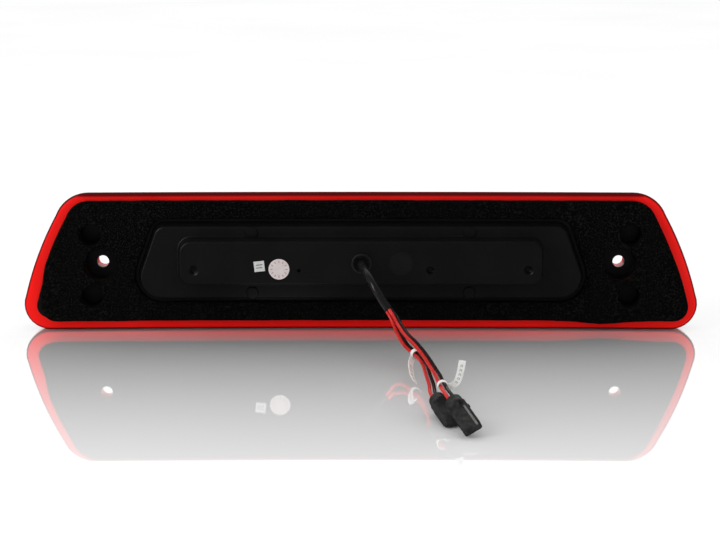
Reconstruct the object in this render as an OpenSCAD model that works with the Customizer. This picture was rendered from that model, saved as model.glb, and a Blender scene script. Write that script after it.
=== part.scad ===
// High-mounted stop lamp for a pickup cab, with cargo lamps at both sides.
// X runs along the lamp, +Y points out of the lens, and -Y points to the cab. The lamp stands on z = 0.
// The rear face of the lens rim lies at y = 0 in the middle of the lamp.

/* [Lens] */
// Width over the lens rim
lens_w = 420; // [400:1:460]
// Height of the lens rim
lens_h = 86.6; // [84:0.2:92]
// Reach of the lens crown in front of the rim
lens_depth = 24; // [23:0.5:30]
// Wall of the lens
lens_wall = 2.8; // [2:0.1:3.4]
// How far the top of the lens falls from the rim to the front
top_fall = 3; // [0:0.25:4]
// Lean of the two ends, in degrees
lens_lean = 21.7; // [18:0.1:24]
// Radius of the lower corners
lower_corner_r = 16; // [12:0.5:20]
// Radius of the upper corners
upper_corner_r = 22; // [16:0.5:26]
// How far the leaning ends swell outwards
side_bulge = 1.8; // [0:0.1:3]
// How far the ends of the rim curve back towards the cab
rim_bow = 4; // [0:0.25:6]
// Radius of the rim's rear edge
rim_round = 2.4; // [1:0.1:3]
// Width of the lip that carries the housing
lip_w = 11.5; // [10:0.5:13]
// Thickness of the lip
lip_t = 4; // [3:0.25:5]
// Depth of the straight skirt
skirt_depth = 12; // [10:0.5:14]
// Width of the rounded shoulder between skirt and front
shoulder_w = 14; // [10:0.5:18]
// How far the front falls away at its two ends
end_drop = 3; // [1:0.25:4]
// How far the front falls away at its upper and lower edges
edge_drop = 4; // [2:0.25:5]

/* [Cargo windows] */
// Width of a window
window_w = 46; // [36:0.5:50]
// Height of a window
window_h = 42; // [34:0.5:46]
// Corner radius of a window
window_r = 6; // [3:0.5:10]
// Gap between a window and the lens
window_gap = 0.15; // [0.05:0.05:0.4]

/* [Mounting screws] */
// Distance of each screw hole from the lamp's end
screw_end = 49; // [46:0.5:52]
// Height of the screw holes
screw_z = 42.3; // [40:0.1:44]
// Diameter of the screw holes
screw_hole_d = 7.5; // [6:0.1:8.5]
// Distance of the screw head's seat in front of the rim
screw_seat_y = 14.5; // [13:0.25:15]
// Diameter of the recess for the screw head
head_recess_d = 16; // [13:0.5:18]
// Wall round the screw hole and its recess
boss_wall = 2.3; // [1.6:0.1:3]

/* [Rear housing] */
// Wall of the housing
housing_wall = 2.2; // [1.6:0.1:2.6]
// Thickness of the housing's flange
flange_t = 2.5; // [2:0.1:3]
// Distance from the lens rim to the edge of the flange
flange_inset = 8.5; // [8:0.25:9.5]
// Height of the plateau's rear face behind the rim
plateau_rise = 13; // [12:0.25:14]
// Distance from the lamp's end to the plateau's upper corner, before rounding
plateau_end = 84; // [80:0.5:88]
// How much further the plateau's lower corners stand out
plateau_flare = 17; // [14:0.5:19]
// Height of the plateau's lower edge
plateau_z0 = 21.3; // [20:0.1:22]
// Height of the plateau's upper edge
plateau_z1 = 68.5; // [68:0.1:70]
// Reach of the raised block behind the rim
block_rise = 23; // [22:0.25:24]
// Distance from the plateau's upper corner to the end of the raised block
block_step = 14; // [13:0.5:15]
// Height of the block's lower edge
block_z0 = 31.8; // [30:0.1:32]
// Height of the block's upper edge
block_z1 = 60.8; // [60:0.1:62]
// Slope of the moulded walls, in mm across over one step
mould_draft = 1; // [0.5:0.1:1.2]
// Radius of the moulded edges
edge_r = 1.4; // [0.8:0.1:1.6]
// Radius of the screw wells
screw_well_r = 10; // [9:0.25:10.5]
// Radius of the blind wells above and below each screw well
blind_well_r = 6.6; // [5.5:0.1:7]
// Distance of the blind wells from the lamp's end
blind_well_end = 43; // [42:0.5:44]
// Height of the lower blind wells
blind_well_low_z = 22; // [21:0.5:22.5]
// Distance of the upper blind wells from the top of the rim
blind_well_top_gap = 25.6; // [24.6:0.1:26.1]
// Floor of the wells in front of the rim
well_floor_y = 4; // [3:0.25:5]
// Radius of the four small bosses on the plateau
peg_boss_r = 3.8; // [3.2:0.1:4.2]
// Distance of the small bosses from the middle of the lamp
peg_boss_x = 67; // [62:0.5:72]
// How far the small bosses stand proud
peg_boss_rise = 0.9; // [0.5:0.1:1.5]

/* [Mounting gasket] */
// Thickness of the foam
gasket_t = 3; // [2:0.25:5]
// Distance from the lens rim to the edge of the foam
gasket_inset = 7; // [6.5:0.25:7.5]
// Gap between the foam and the plateau
gasket_gap = 2.5; // [1.5:0.25:3]
// Height of the foam's lower edge
gasket_z0 = 6.8; // [6:0.1:8]
// Distance from the top of the rim to the foam's upper edge
gasket_top_gap = 4.4; // [4:0.1:7]

/* [Lamp board] */
// Distance from the block's end to the end of the board
board_gap = 4; // [3.5:0.25:5]
// Height of the board
board_h = 23.4; // [23:0.1:24]
// Thickness of the board
board_t = 1.6; // [1.2:0.1:2]
// Height of the posts that carry the board
post_h = 12; // [11:0.25:13]
// Radius of the posts
post_r = 3.6; // [3.2:0.1:4]
// Distance of the outer posts from the block's end
post_end = 9.5; // [9:0.25:11]
// Distance of the inner posts from their own middle
inner_post_x = 40.1; // [38:0.1:41]
// Sideways shift of the inner posts
inner_post_shift = 2.4; // [0:0.1:3]
// Height of the posts above the floor
post_z = 42; // [41.5:0.1:43]
// Radius of the moulded dimple behind each post
dimple_r = 2.5; // [2:0.1:2.8]
// Depth of the dimples
dimple_depth = 2.6; // [1:0.1:4]
// Radius of the screws that hold the board
board_screw_r = 1.3; // [1:0.05:1.5]
// Radius of the screw heads
board_screw_head_r = 2.5; // [2.2:0.1:2.8]
// Length of the screws below their heads
board_screw_l = 8; // [6:0.5:9]

/* [Reflector tray] */
// Lamps in each stop row
stop_count = 6; // [4:2:6]
// Distance of the last cargo lamp from the end of the tray
cargo_end = 19; // [18:0.5:20]
// Pitch of the cargo lamps
cargo_pitch = 20; // [19.5:0.1:20.5]
// Lamps in each cargo row
cargo_count = 2; // [1:1:2]
// Distance between the last stop lamp and the first cargo lamp
light_gap = 29; // [27:0.5:31]
// Distance between the two rows of lamps
row_pitch = 19; // [18.6:0.1:19.2]
// Mouth radius of a reflector cup
cup_mouth_r = 8.5; // [7.5:0.1:8.6]
// Radius of a cup at its lamp
cup_base_r = 2.8; // [2.6:0.1:3.2]
// Depth of a cup
cup_depth = 16; // [13:0.5:17]
// Wall of the tray and its cups
tray_wall = 1; // [0.8:0.1:1.2]
// How far the tray reaches past the block's end
tray_lap = 6; // [5:0.25:7]
// Clearance between the tray and the plateau's walls
tray_clear = 0.4; // [0.3:0.05:0.8]
// Height of the light barriers between stop and cargo
barrier_rise = 7; // [4:0.5:8]

/* [Lead] */
// Sideways place of the lead's outlet
outlet_x = 0.5; // [-2:0.5:2]
// Height of the lead's outlet
outlet_z = 46.4; // [45:0.1:48]
// Diameter of the lead's jacket
sheath_d = 5; // [4.5:0.1:5.2]
// Diameter of one wire
wire_d = 2; // [1.6:0.1:2]
// Radius of the grommet's ring
grommet_r = 6.3; // [6:0.1:7]
// Radius of the hole that the grommet sits in
grommet_hole_r = 4.6; // [4.4:0.1:5]
// How far the grommet's ring stands proud of the block
grommet_rise = 1; // [0.6:0.1:1.5]

/* [Vent and stickers] */
// Sideways place of the vent
vent_x = 24.5; // [20:0.5:28]
// Radius of the vent membrane
vent_r = 7.3; // [5:0.1:8]
// Side of the square sticker
square_sticker_w = 6.8; // [5:0.1:8]
// Diameter of the round sticker
round_sticker_d = 12.7; // [10:0.1:14]
// Thickness of the membrane and the stickers
film_t = 0.25; // [0.2:0.05:0.4]

/* [Plugs] */
// Length of a plug
plug_l = 27; // [25:0.5:29]
// Radius of a plug's round base
plug_base_r = 4.6; // [4.4:0.1:4.7]
// Radius of the ring round the base
plug_ring_r = 5; // [4.8:0.1:5.1]
// Width of the wedge
wedge_w = 10; // [9.6:0.1:10.2]
// Thickness of the wedge
wedge_t = 4.2; // [3.6:0.1:4.4]
// Width of a contact strip
contact_w = 1.1; // [1:0.1:1.8]

/* [Hidden] */
$fn = 48;

// Small overlap that keeps joined bodies from meeting only at a face
weld = 0.6;
// How far a cutting body runs past the face it cuts
past = 1;
// How far two cuts run into each other
cut_lap = 0.01;
// Half length of a body that cuts right through the lamp along Y
through = 40;
// Gap between pieces that lie face to face
face_gap = 0.05;
// Thickness of the bead between lens and housing, and its distance from their edges
seal_t = 0.6;
seal_margin = 0.5;
// How late the wires of a pair turn and spread for their plug
entry_power = 4;
// Points along half of a long edge, round a corner and up a leaning end of an outline
edge_n = 6;
corner_n = 6;
side_n = 5;
least_corner_r = 0.8;

// An outline with leaning ends is [half width at its foot, half width at its top, foot, top,
// lower radius, upper radius, swell of the ends]
lens_foot_half = lens_w / 2 + lower_corner_r * (1 / cos(lens_lean) + tan(lens_lean) - 1);
lens_shape = [lens_foot_half, lens_foot_half - lens_h * tan(lens_lean), 0, lens_h,
    lower_corner_r, upper_corner_r, side_bulge];
front_h = lens_h - top_fall;
front_mid_z = front_h / 2;
front_shape = [lens_foot_half, lens_foot_half - front_h * tan(lens_lean), 0, front_h,
    lower_corner_r, upper_corner_r, side_bulge];
screw_x = lens_w / 2 - screw_end;
blind_well_x = lens_w / 2 - blind_well_end;
blind_well_top_z = lens_h - blind_well_top_gap;
plateau_top_half = lens_w / 2 - plateau_end;
plateau_low_half = plateau_top_half + plateau_flare;
block_half = plateau_top_half - block_step;
board_half = block_half - board_gap;
tray_half = block_half + tray_lap;
plateau_lower_r = 14;
plateau_upper_r = 8;
plateau_shape = [plateau_low_half, plateau_top_half, plateau_z0, plateau_z1,
    plateau_lower_r, plateau_upper_r, 0];
block_r = 8;
block_shape = [block_half, block_half, block_z0, block_z1, block_r, block_r, 0];

// Levels along Y, from the cab to the front
block_y = -block_rise;
plateau_y = -plateau_rise;
flange_front_y = -seal_t;
flange_rear_y = flange_front_y - flange_t;
gasket_rear_y = flange_rear_y - gasket_t;
block_inner_y = block_y + housing_wall;
plateau_inner_y = plateau_y + housing_wall;
board_rear_y = block_inner_y + post_h;
board_front_y = board_rear_y + board_t;
well_floor_front_y = well_floor_y + housing_wall;

// The lamps sit in two rows on the board, which is centred in the block
board_z = (block_z0 + block_z1) / 2;
rows = [board_z - row_pitch / 2, board_z + row_pitch / 2];
cargo_last_x = tray_half - cargo_end;
cargo_first_x = cargo_last_x - (cargo_count - 1) * cargo_pitch;
cargo_xs = [for (side = [-1, 1], i = [0:cargo_count - 1]) side * (cargo_first_x + i * cargo_pitch)];
stop_pitch = 2 * (cargo_first_x - light_gap) / (stop_count - 1);
stop_xs = [for (i = [0:stop_count - 1]) (i - (stop_count - 1) / 2) * stop_pitch];
window_x = (cargo_first_x + cargo_last_x) / 2;
window_mid_z = front_mid_z + 2;
screw_head_t = 1;
led_size = [3.5, 1.6, 2.8];
led_lens_r = 1.2;
led_lens_rise = 0.4;
cup_clear = 0.2;
cup_base_y = board_front_y + screw_head_t + cup_clear;
cup_mouth_y = cup_base_y + cup_depth;
barrier_x = (stop_xs[stop_count - 1] + cargo_first_x) / 2;

// The tray stands on the plateau's inner face, inside its upper and lower walls
tray_z0 = plateau_z0 + housing_wall + mould_draft + tray_clear;
tray_z1 = plateau_z1 - housing_wall - mould_draft - tray_clear;
peg_r = 1.2;
peg_l = 2;
peg_clear = 0.1;
peg_z0 = tray_z0 + peg_r;
peg_z1 = tray_z1 - peg_r;

// Posts of the board, which are also the dimples in the block's rear face
outer_post_x = block_half - post_end;
post_xs = [-outer_post_x, inner_post_shift - inner_post_x, inner_post_shift + inner_post_x, outer_post_x];
pilot_clear = 0.05;
screw_play = 0.2;

// Vent and stickers on the block's rear face
vent_z = outlet_z;
vent_hole_r = 1.5;
square_sticker_at = [-62, 44.7];
round_sticker_at = [-50, 42.9];
square_sticker_turn = 5;

// Route of the lead's jacket, from inside the grommet to where the jacket ends
sheath_inside = 3;
sheath_route = [[outlet_x, block_inner_y + sheath_inside, outlet_z], [outlet_x, -21, outlet_z],
    [outlet_x, -26, outlet_z], [1, -34, 46.4], [3, -43, 45.5], [5.5, -51, 42.5], [8, -55.5, 38.8],
    [11, -58, 34.5], [13.5, -59.5, 30.5], [16.5, -61.5, 26.5]];
// Routes down the middle of each pair of wires, between the jacket and the plugs
stop_route = [[20.5, -67.5, 18.2], [23, -76, 14.6], [25.5, -86.5, 12.2], [31.4, -107, 11.2],
    [34.3, -118, 10.9], [36.9, -150, 10.2], [38, -170, 10.1]];
cargo_route = [[22, -72.5, 21.5], [25.8, -83.5, 17.6], [30.2, -96, 15.9], [35, -117.5, 14.8],
    [39.2, -148, 14.7], [41.3, -168, 15.3], [43, -190, 15.7]];
// Where each wire flag wraps its pair, the route of its tail, and the way the tail's width runs
stop_wrap = [[30.9, -105.2, 11.3], [31.9, -108.8, 11.1]];
stop_tail = [[29.5, -107, 9.3], [28.3, -116, 8.9], [27.9, -125, 8.6], [28, -133, 8.4], [28.6, -141, 7],
    [30, -145.5, 5.2]];
stop_tail_side = [0.6, 0.3, -0.6];
cargo_wrap = [[42.85, -188.1, 15.65], [43.15, -191.9, 15.7]];
cargo_tail = [[45.7, -190, 15.4], [48, -190.5, 15.8], [50.4, -190.5, 18], [51.8, -190, 21.5],
    [52.7, -189.5, 25.4], [53.3, -189, 29.2]];
cargo_tail_side = [0.9, 0.1, -0.4];
flag_w = 3.8;
flag_t = 0.35;
wrap_r = 2.85;
wrap_sides = 12;

// Place of each plug: middle of its wire face, drop, heading and roll in degrees
stop_plug_at = [[40, -189.3, 8.1], 12, 18, 3];
cargo_plug_at = [[47.6, -208.6, 12.8], 18, 21, 31];
plug_base_l = 7;
plug_ring_l = 2.4;
wedge_corner_r = 1.4;
contact_t = 0.5;
contact_x = 3.1;
contact_l = 17.5;
// Where the wires enter a plug: distance from its middle, the straight stretch before it, and the gap
entry_x = 1.5;
entry_lead = 5;
entry_gap = 0.15;
// Straight stretch of the wires after the jacket
exit_lead = 5;

// Functions for outlines and rings

function lean_of(s) = atan((s[0] - s[1]) / (s[3] - s[2]));
function half_at(s, z) = s[0] + (s[1] - s[0]) * (z - s[2]) / (s[3] - s[2]);
function arc(c, r, from, to, n) =
    [for (i = [0:n]) let (t = from + (to - from) * i / n) c + r * [cos(t), sin(t)]];
function blend(a, b, t) = a + (b - a) * t;

// Right half of an outline drawn in by d, from its foot to its top in the middle of the lamp
function right_half(s, d) =
    let (a = lean_of(s),
        rb = max(s[4] - d, least_corner_r),
        rt = max(s[5] - d, least_corner_r),
        zb = s[2] + d + rb,
        zt = s[3] - d - rt,
        low = [half_at(s, zb) - (d + rb) / cos(a), zb],
        top = [half_at(s, zt) - (d + rt) / cos(a), zt],
        side_foot = low + rb * [cos(a), sin(a)],
        side_top = top + rt * [cos(a), sin(a)])
    concat([for (i = [0:edge_n - 1]) [low[0] * i / edge_n, s[2] + d]],
        arc(low, rb, -90, a, corner_n),
        [for (i = [1:side_n - 1]) let (t = i / side_n)
            blend(side_foot, side_top, t) + s[6] * 4 * t * (1 - t) * [cos(a), sin(a)]],
        arc(top, rt, a, 90, corner_n),
        [for (i = [edge_n - 1:-1:0]) [top[0] * i / edge_n, s[3] - d]]);
function outline(s, d = 0) =
    let (r = right_half(s, d), n = len(r))
    concat(r, [for (i = [n - 2:-1:1]) [-r[i][0], r[i][1]]]);

function bow_at(x) = rim_bow * pow(x / (lens_w / 2), 2);
// A ring of points at depth y, curved back with the rim by its share of the bow
function ring(points, y, share = 1) = [for (p = points) [p[0], y - share * bow_at(p[0]), p[1]]];
function shrink(points, middle, t) = [for (p = points) [p[0] * t, middle + (p[1] - middle) * t]];

// The foam's outline follows the leaning ends of the rim
gasket_z1 = lens_h - gasket_top_gap;
gasket_draw = gasket_inset / cos(lens_lean);
gasket_shape = [half_at(lens_shape, gasket_z0) - gasket_draw, half_at(lens_shape, gasket_z1) - gasket_draw,
    gasket_z0, gasket_z1, lower_corner_r - gasket_inset, upper_corner_r - gasket_inset, side_bulge];

// Functions for tubes along a route

function unit(v) = v / norm(v);
function knot(p, i) = i < 0 ? 2 * p[0] - p[1] : i > len(p) - 1 ? 2 * p[len(p) - 1] - p[len(p) - 2] : p[i];
function spline_at(p, i, t) =
    let (a = knot(p, i - 1), b = knot(p, i), c = knot(p, i + 1), d = knot(p, i + 2))
    (2 * b + (c - a) * t + (2 * a - 5 * b + 4 * c - d) * t * t + (3 * b - 3 * c + d - a) * t * t * t) / 2;
function spline(p, n) =
    concat([for (i = [0:len(p) - 2], k = [0:n - 1]) spline_at(p, i, k / n)], [p[len(p) - 1]]);
function tangent(p, i) = unit(p[min(i + 1, len(p) - 1)] - p[max(i - 1, 0)]);
function tube_rings(p, r, sides, up = [0, 0, 1]) =
    [for (i = [0:len(p) - 1])
        let (t = tangent(p, i), u = unit(cross(t, up)), v = cross(u, t))
        [for (k = [0:sides - 1]) p[i] + r * (cos(360 * k / sides) * u + sin(360 * k / sides) * v)]];
// A strip whose width runs along side
function strip_rings(p, w, h, side) =
    [for (i = [0:len(p) - 1])
        let (t = tangent(p, i), u = unit(side - (side * t) * t), v = cross(u, t))
        [for (c = [[1, 1], [-1, 1], [-1, -1], [1, -1]]) p[i] + c[0] * w / 2 * u + c[1] * h / 2 * v]];

// A plug's own frame: Z from its wire face to its tip, X across the wedge, Y up through it
function turned(v, drop, heading, roll) =
    let (a = [v[0] * cos(roll) - v[1] * sin(roll), v[0] * sin(roll) + v[1] * cos(roll), v[2]],
        b = [a[0], -a[1] * sin(drop) - a[2] * cos(drop), a[1] * cos(drop) - a[2] * sin(drop)])
    [b[0] * cos(heading) - b[1] * sin(heading), b[0] * sin(heading) + b[1] * cos(heading), b[2]];
function plug_point(at, v) = at[0] + turned(v, at[1], at[2], at[3]);

// The jacket's end, and the four places where the wires leave it
sheath_line = spline(sheath_route, 2);
sheath_end = sheath_line[len(sheath_line) - 1];
sheath_way = tangent(sheath_line, len(sheath_line) - 1);
sheath_side = unit(cross(sheath_way, [0, 0, 1]));
sheath_up = cross(sheath_side, sheath_way);
wire_clear = 0.08;
wire_spread = wire_d / 2 + wire_clear;

// Middle of a pair: out of the jacket, along its route and straight into its plug
function pair_line(level, route, at) =
    let (start = sheath_end + face_gap * sheath_way + level * wire_spread * sheath_up)
    spline(concat([for (k = [0, exit_lead / 2, exit_lead]) start + k * sheath_way], route,
        [for (k = [-entry_lead, -entry_lead / 2, -entry_gap]) plug_point(at, [0, 0, k])]), 2);
// One wire of a pair, which turns and spreads for its plug near the end of its way
function wire_line(pair, side, at) =
    let (across = turned([-1, 0, 0], at[1], at[2], at[3]))
    [for (i = [0:len(pair) - 1])
        let (t = pow(i / (len(pair) - 1), entry_power),
            level = unit(cross(tangent(pair, i), [0, 0, 1])))
        pair[i] + side * blend(wire_spread, entry_x, t) * unit(blend(level, across, t))];
stop_pair = pair_line(-1, stop_route, stop_plug_at);
cargo_pair = pair_line(1, cargo_route, cargo_plug_at);
left = 1;
right = -1;

// Shared solids

function walls(m, n) = [for (k = [0:m - 2], i = [0:n - 1], h = [0, 1])
    let (j = (i + 1) % n, a = k * n)
    h == 0 ? [a + i, a + j, a + n + j] : [a + i, a + n + j, a + n + i]];

// A closed solid through rings of points, with a fan at each end
module loft(rings, first, last) {
    n = len(rings[0]);
    m = len(rings);
    points = concat([for (r = rings, p = r) p], [first, last]);
    front = [for (i = [0:n - 1]) [(m - 1) * n + i, (m - 1) * n + (i + 1) % n, m * n + 1]];
    back = [for (i = [0:n - 1]) [m * n, (i + 1) % n, i]];
    polyhedron(points, concat(walls(m, n), front, back));
}

// A solid through rings of points that ends where it started
module loop(rings) {
    n = len(rings[0]);
    m = len(rings);
    points = [for (r = rings, p = r) p];
    polyhedron(points, [for (f = walls(m + 1, n)) [for (v = f) v % (m * n)]]);
}

module tube(line, d, sides) loft(tube_rings(line, d / 2, sides), line[0], line[len(line) - 1]);

// An outline in X and Z, extruded between two depths
module prism(points, y0, y1)
    translate([0, y1, 0]) rotate([90, 0, 0]) linear_extrude(y1 - y0) polygon(points);

// A round bar along Y
module bar(x, z, r, y0, y1) translate([x, y1, z]) rotate([90, 0, 0]) cylinder(r = r, h = y1 - y0);

// A slab between two depths that curves back with the rim
module bowed_slab(y0, y1) {
    steps = 24;
    xs = [for (i = [0:steps]) (i / steps - 0.5) * lens_w];
    translate([0, 0, -past])
        linear_extrude(lens_h + 2 * past)
            polygon(concat([for (x = xs) [x, y0 - bow_at(x)]],
                [for (i = [steps:-1:0]) [xs[i], y1 - bow_at(xs[i])]]));
}

module mirrored_pair() {
    children();
    mirror([1, 0, 0]) children();
}

// Depth of the lens front: crowned along its length and its height
function crown(p) = lens_depth - end_drop * pow(p[0] / (lens_w / 2), 2)
    - edge_drop * pow((p[1] - front_mid_z) / front_mid_z, 2);
// A ring part of the way round the shoulder, from the skirt at 0 to the front at 90 degrees
function shoulder_ring(wall, turn) =
    let (points = outline(front_shape, wall + (shoulder_w - wall) * (1 - cos(turn))))
    [for (p = points) [p[0], blend(skirt_depth, crown(p) - wall, sin(turn)) - bow_at(p[0]), p[1]]];
// A ring on the front, drawn in towards the middle by t
function front_ring(wall, t) =
    [for (p = shrink(outline(front_shape, shoulder_w), front_mid_z, t))
        [p[0], crown(p) - wall - bow_at(p[0]), p[1]]];

// The lens shell: skirt, rounded shoulder and crowned front, with the lip turned in at the rim
module lens_shell() {
    turns = [0, 20, 40, 60, 80, 90];
    shares = [0.8, 0.6, 0.4, 0.2];
    rim = [for (t = [0, 30, 60, 90])
        ring(outline(lens_shape, rim_round * (1 - sin(t))), rim_round * (1 - cos(t)))];
    outer_skin = concat(rim, [for (t = turns) shoulder_ring(0, t)], [for (t = shares) front_ring(0, t)]);
    inner_skin = concat([for (i = [len(shares) - 1:-1:0]) front_ring(lens_wall, shares[i])],
        [for (i = [len(turns) - 1:-1:0]) shoulder_ring(lens_wall, turns[i])],
        [ring(outline(lens_shape, lens_wall), lip_t), ring(outline(lens_shape, lip_w), lip_t),
            ring(outline(lens_shape, lip_w), 0)]);
    middle = [0, front_mid_z];
    loft(concat(inner_skin, outer_skin), [0, crown(middle) - lens_wall, middle[1]],
        [0, crown(middle), middle[1]]);
}

function window_outline(grow) =
    let (x0 = window_x - window_w / 2 - grow, x1 = window_x + window_w / 2 + grow,
        z0 = window_mid_z - window_h / 2 - grow, z1 = window_mid_z + window_h / 2 + grow,
        r = window_r + grow)
    concat(arc([x1 - r, z0 + r], r, -90, 0, corner_n), arc([x1 - r, z1 - r], r, 0, 90, corner_n),
        arc([x0 + r, z1 - r], r, 90, 180, corner_n), arc([x0 + r, z0 + r], r, 180, 270, corner_n));

// Depth halfway through the lens wall at the screw holes
screw_skin_y = crown([screw_x, screw_z]) - bow_at(screw_x) - lens_wall / 2;

module outer_lens() color([0.75, 0.04, 0.04, 0.85]) difference() {
    union() {
        lens_shell();
        mirrored_pair() {
            bar(screw_x, screw_z, screw_hole_d / 2 + boss_wall, well_floor_front_y + face_gap,
                screw_skin_y);
            bar(screw_x, screw_z, head_recess_d / 2 + boss_wall, screw_seat_y - boss_wall, screw_skin_y);
        }
    }
    mirrored_pair() {
        bar(screw_x, screw_z, screw_hole_d / 2, 0, lens_depth + past);
        bar(screw_x, screw_z, head_recess_d / 2, screw_seat_y, lens_depth + past);
        prism(window_outline(window_gap), skirt_depth, lens_depth + past);
    }
}

module cargo_window() color([0.92, 0.94, 0.95, 0.5]) intersection() {
    lens_shell();
    prism(window_outline(0), skirt_depth, lens_depth + past);
}
module cargo_window_left() mirror([1, 0, 0]) cargo_window();
module cargo_window_right() cargo_window();

module lens_seal() color([0.12, 0.12, 0.13]) difference() {
    intersection() {
        bowed_slab(flange_front_y + face_gap, -face_gap);
        prism(outline(lens_shape, flange_inset + seal_margin), -through, through);
    }
    prism(outline(lens_shape, lip_w - seal_margin), -through - past, through + past);
}

function blend_outlines(a, b, t) = [for (i = [0:len(a) - 1]) blend(a[i], b[i], t)];
// The rounded edge of a moulded step
function step_edge(s, y) = [for (t = [0, 30, 60, 90])
    ring(outline(s, mould_draft + edge_r * (1 - sin(t))), y + edge_r * (1 - cos(t)), 0)];

// The moulded skin of the housing, from the middle of its rear face round the flange to the inner face
module housing_skin() {
    flange = outline(lens_shape, flange_inset);
    plateau_foot = outline(plateau_shape);
    plateau_mouth = outline(plateau_shape, housing_wall);
    steps = [0, 0.25, 0.5, 0.75, 1];
    rear = concat(step_edge(block_shape, block_y), [ring(outline(block_shape), plateau_y, 0)],
        step_edge(plateau_shape, plateau_y),
        [for (t = steps) ring(blend_outlines(plateau_foot, flange, t), flange_rear_y)]);
    inside = concat([for (t = steps) ring(blend_outlines(flange, plateau_mouth, t), flange_front_y)],
        [ring(outline(plateau_shape, housing_wall + mould_draft), plateau_inner_y, 0),
            ring(outline(block_shape, housing_wall), plateau_inner_y, 0),
            ring(outline(block_shape, housing_wall + mould_draft), block_inner_y, 0)]);
    loft(concat(rear, inside), [0, block_y, board_z], [0, block_inner_y, board_z]);
}

module rear_housing() color([0.05, 0.05, 0.055]) difference() {
    union() {
        housing_skin();
        mirrored_pair() {
            bar(screw_x, screw_z, screw_well_r + housing_wall, flange_front_y - bow_at(screw_x) - weld,
                well_floor_front_y);
            for (z = [blind_well_low_z, blind_well_top_z])
                bar(blind_well_x, z, blind_well_r + housing_wall,
                    flange_front_y - bow_at(blind_well_x) - weld, well_floor_front_y);
            for (z = [peg_z0, peg_z1])
                bar(peg_boss_x, z, peg_boss_r, plateau_y - peg_boss_rise, plateau_y + weld);
        }
        for (x = post_xs) bar(x, post_z, post_r, block_inner_y - weld, board_rear_y);
    }
    mirrored_pair() {
        bar(screw_x, screw_z, screw_well_r, -plateau_rise, well_floor_y);
        bar(screw_x, screw_z, screw_hole_d / 2, -plateau_rise, lens_depth);
        for (z = [blind_well_low_z, blind_well_top_z])
            bar(blind_well_x, z, blind_well_r, -plateau_rise, well_floor_y);
        for (z = [peg_z0, peg_z1])
            bar(peg_boss_x, z, peg_r + peg_clear, plateau_inner_y - peg_l - peg_clear,
                plateau_inner_y + past);
    }
    for (x = post_xs) {
        bar(x, post_z, dimple_r, block_y - past, block_y + dimple_depth);
        bar(x, post_z, board_screw_r + pilot_clear, board_rear_y - board_screw_l, board_rear_y + past);
    }
    bar(outlet_x, outlet_z, grommet_hole_r, block_y - past, block_inner_y + past);
    bar(vent_x, vent_z, vent_hole_r, block_y - past, block_inner_y + past);
}

module mounting_gasket() color([0.03, 0.03, 0.03]) difference() {
    intersection() {
        bowed_slab(gasket_rear_y, flange_rear_y - face_gap);
        prism(outline(gasket_shape), -through, through);
    }
    prism(outline(plateau_shape, -gasket_gap), -through - past, through + past);
    mirrored_pair() {
        bar(screw_x, screw_z, screw_well_r, -through, through);
        for (z = [blind_well_low_z, blind_well_top_z])
            bar(blind_well_x, z, blind_well_r, -through, through);
    }
}

// One reflector cup: a parabola turned about the lamp's axis
module cup(grow) {
    steps = 5;
    profile = [for (i = [0:steps]) let (t = i / steps)
        [cup_base_r + grow + (cup_mouth_r - cup_base_r) * sqrt(t), cup_depth * t]];
    rotate([-90, 0, 0]) rotate_extrude() polygon(concat([[0, 0]], profile, [[0, cup_depth]]));
}

module at_lamps(xs) for (x = xs, z = rows) translate([x, cup_base_y, z]) children();

module reflector_tray() color([0.8, 0.81, 0.83]) difference() {
    union() {
        difference() {
            translate([-tray_half, plateau_inner_y + face_gap, tray_z0])
                cube([2 * tray_half, cup_mouth_y - plateau_inner_y - face_gap, tray_z1 - tray_z0]);
            translate([-tray_half + tray_wall, plateau_inner_y - past, tray_z0 + tray_wall])
                cube([2 * (tray_half - tray_wall), cup_mouth_y - tray_wall - plateau_inner_y + past,
                    tray_z1 - tray_z0 - 2 * tray_wall]);
        }
        at_lamps(concat(stop_xs, cargo_xs)) cup(tray_wall);
        mirrored_pair() {
            translate([barrier_x - tray_wall / 2, cup_mouth_y - tray_wall / 2, tray_z0])
                cube([tray_wall, barrier_rise + tray_wall / 2, tray_z1 - tray_z0]);
            for (z = [peg_z0, peg_z1])
                bar(peg_boss_x, z, peg_r, plateau_inner_y - peg_l, plateau_inner_y + weld + tray_wall);
        }
    }
    at_lamps(concat(stop_xs, cargo_xs)) {
        cup(0);
        bar(0, 0, cup_mouth_r, cup_depth - cut_lap, cup_depth + past);
        bar(0, 0, cup_base_r, -past, cut_lap);
    }
}

module led_board() color([0.1, 0.35, 0.16]) difference() {
    translate([-board_half, board_rear_y, board_z - board_h / 2]) cube([2 * board_half, board_t, board_h]);
    for (x = post_xs) bar(x, post_z, board_screw_r + screw_play, board_rear_y - past, board_front_y + past);
}

module led() {
    translate([-led_size[0] / 2, 0, -led_size[2] / 2]) cube(led_size);
    bar(0, 0, led_lens_r, led_size[1] - led_lens_rise, led_size[1] + led_lens_rise);
}
module leds(xs) for (x = xs, z = rows) translate([x, board_front_y, z]) led();
module stop_leds() color([0.9, 0.85, 0.7]) leds(stop_xs);
module cargo_leds() color([0.95, 0.93, 0.75]) leds(cargo_xs);

resistor_size = [3.2, 0.6, 1.6];
diode_size = [4.4, 2.2, 2.6];
module chip(x, z, size) translate([x - size[0] / 2, board_front_y, z - size[2] / 2]) cube(size);
module board_resistors() color([0.08, 0.08, 0.09])
    for (i = [0:stop_count - 2]) chip(stop_xs[i] + stop_pitch / 2, board_z + row_pitch / 2, resistor_size);
module board_diodes() color([0.15, 0.15, 0.16])
    for (x = [-stop_pitch, stop_pitch]) chip(x, board_z, diode_size);

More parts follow.
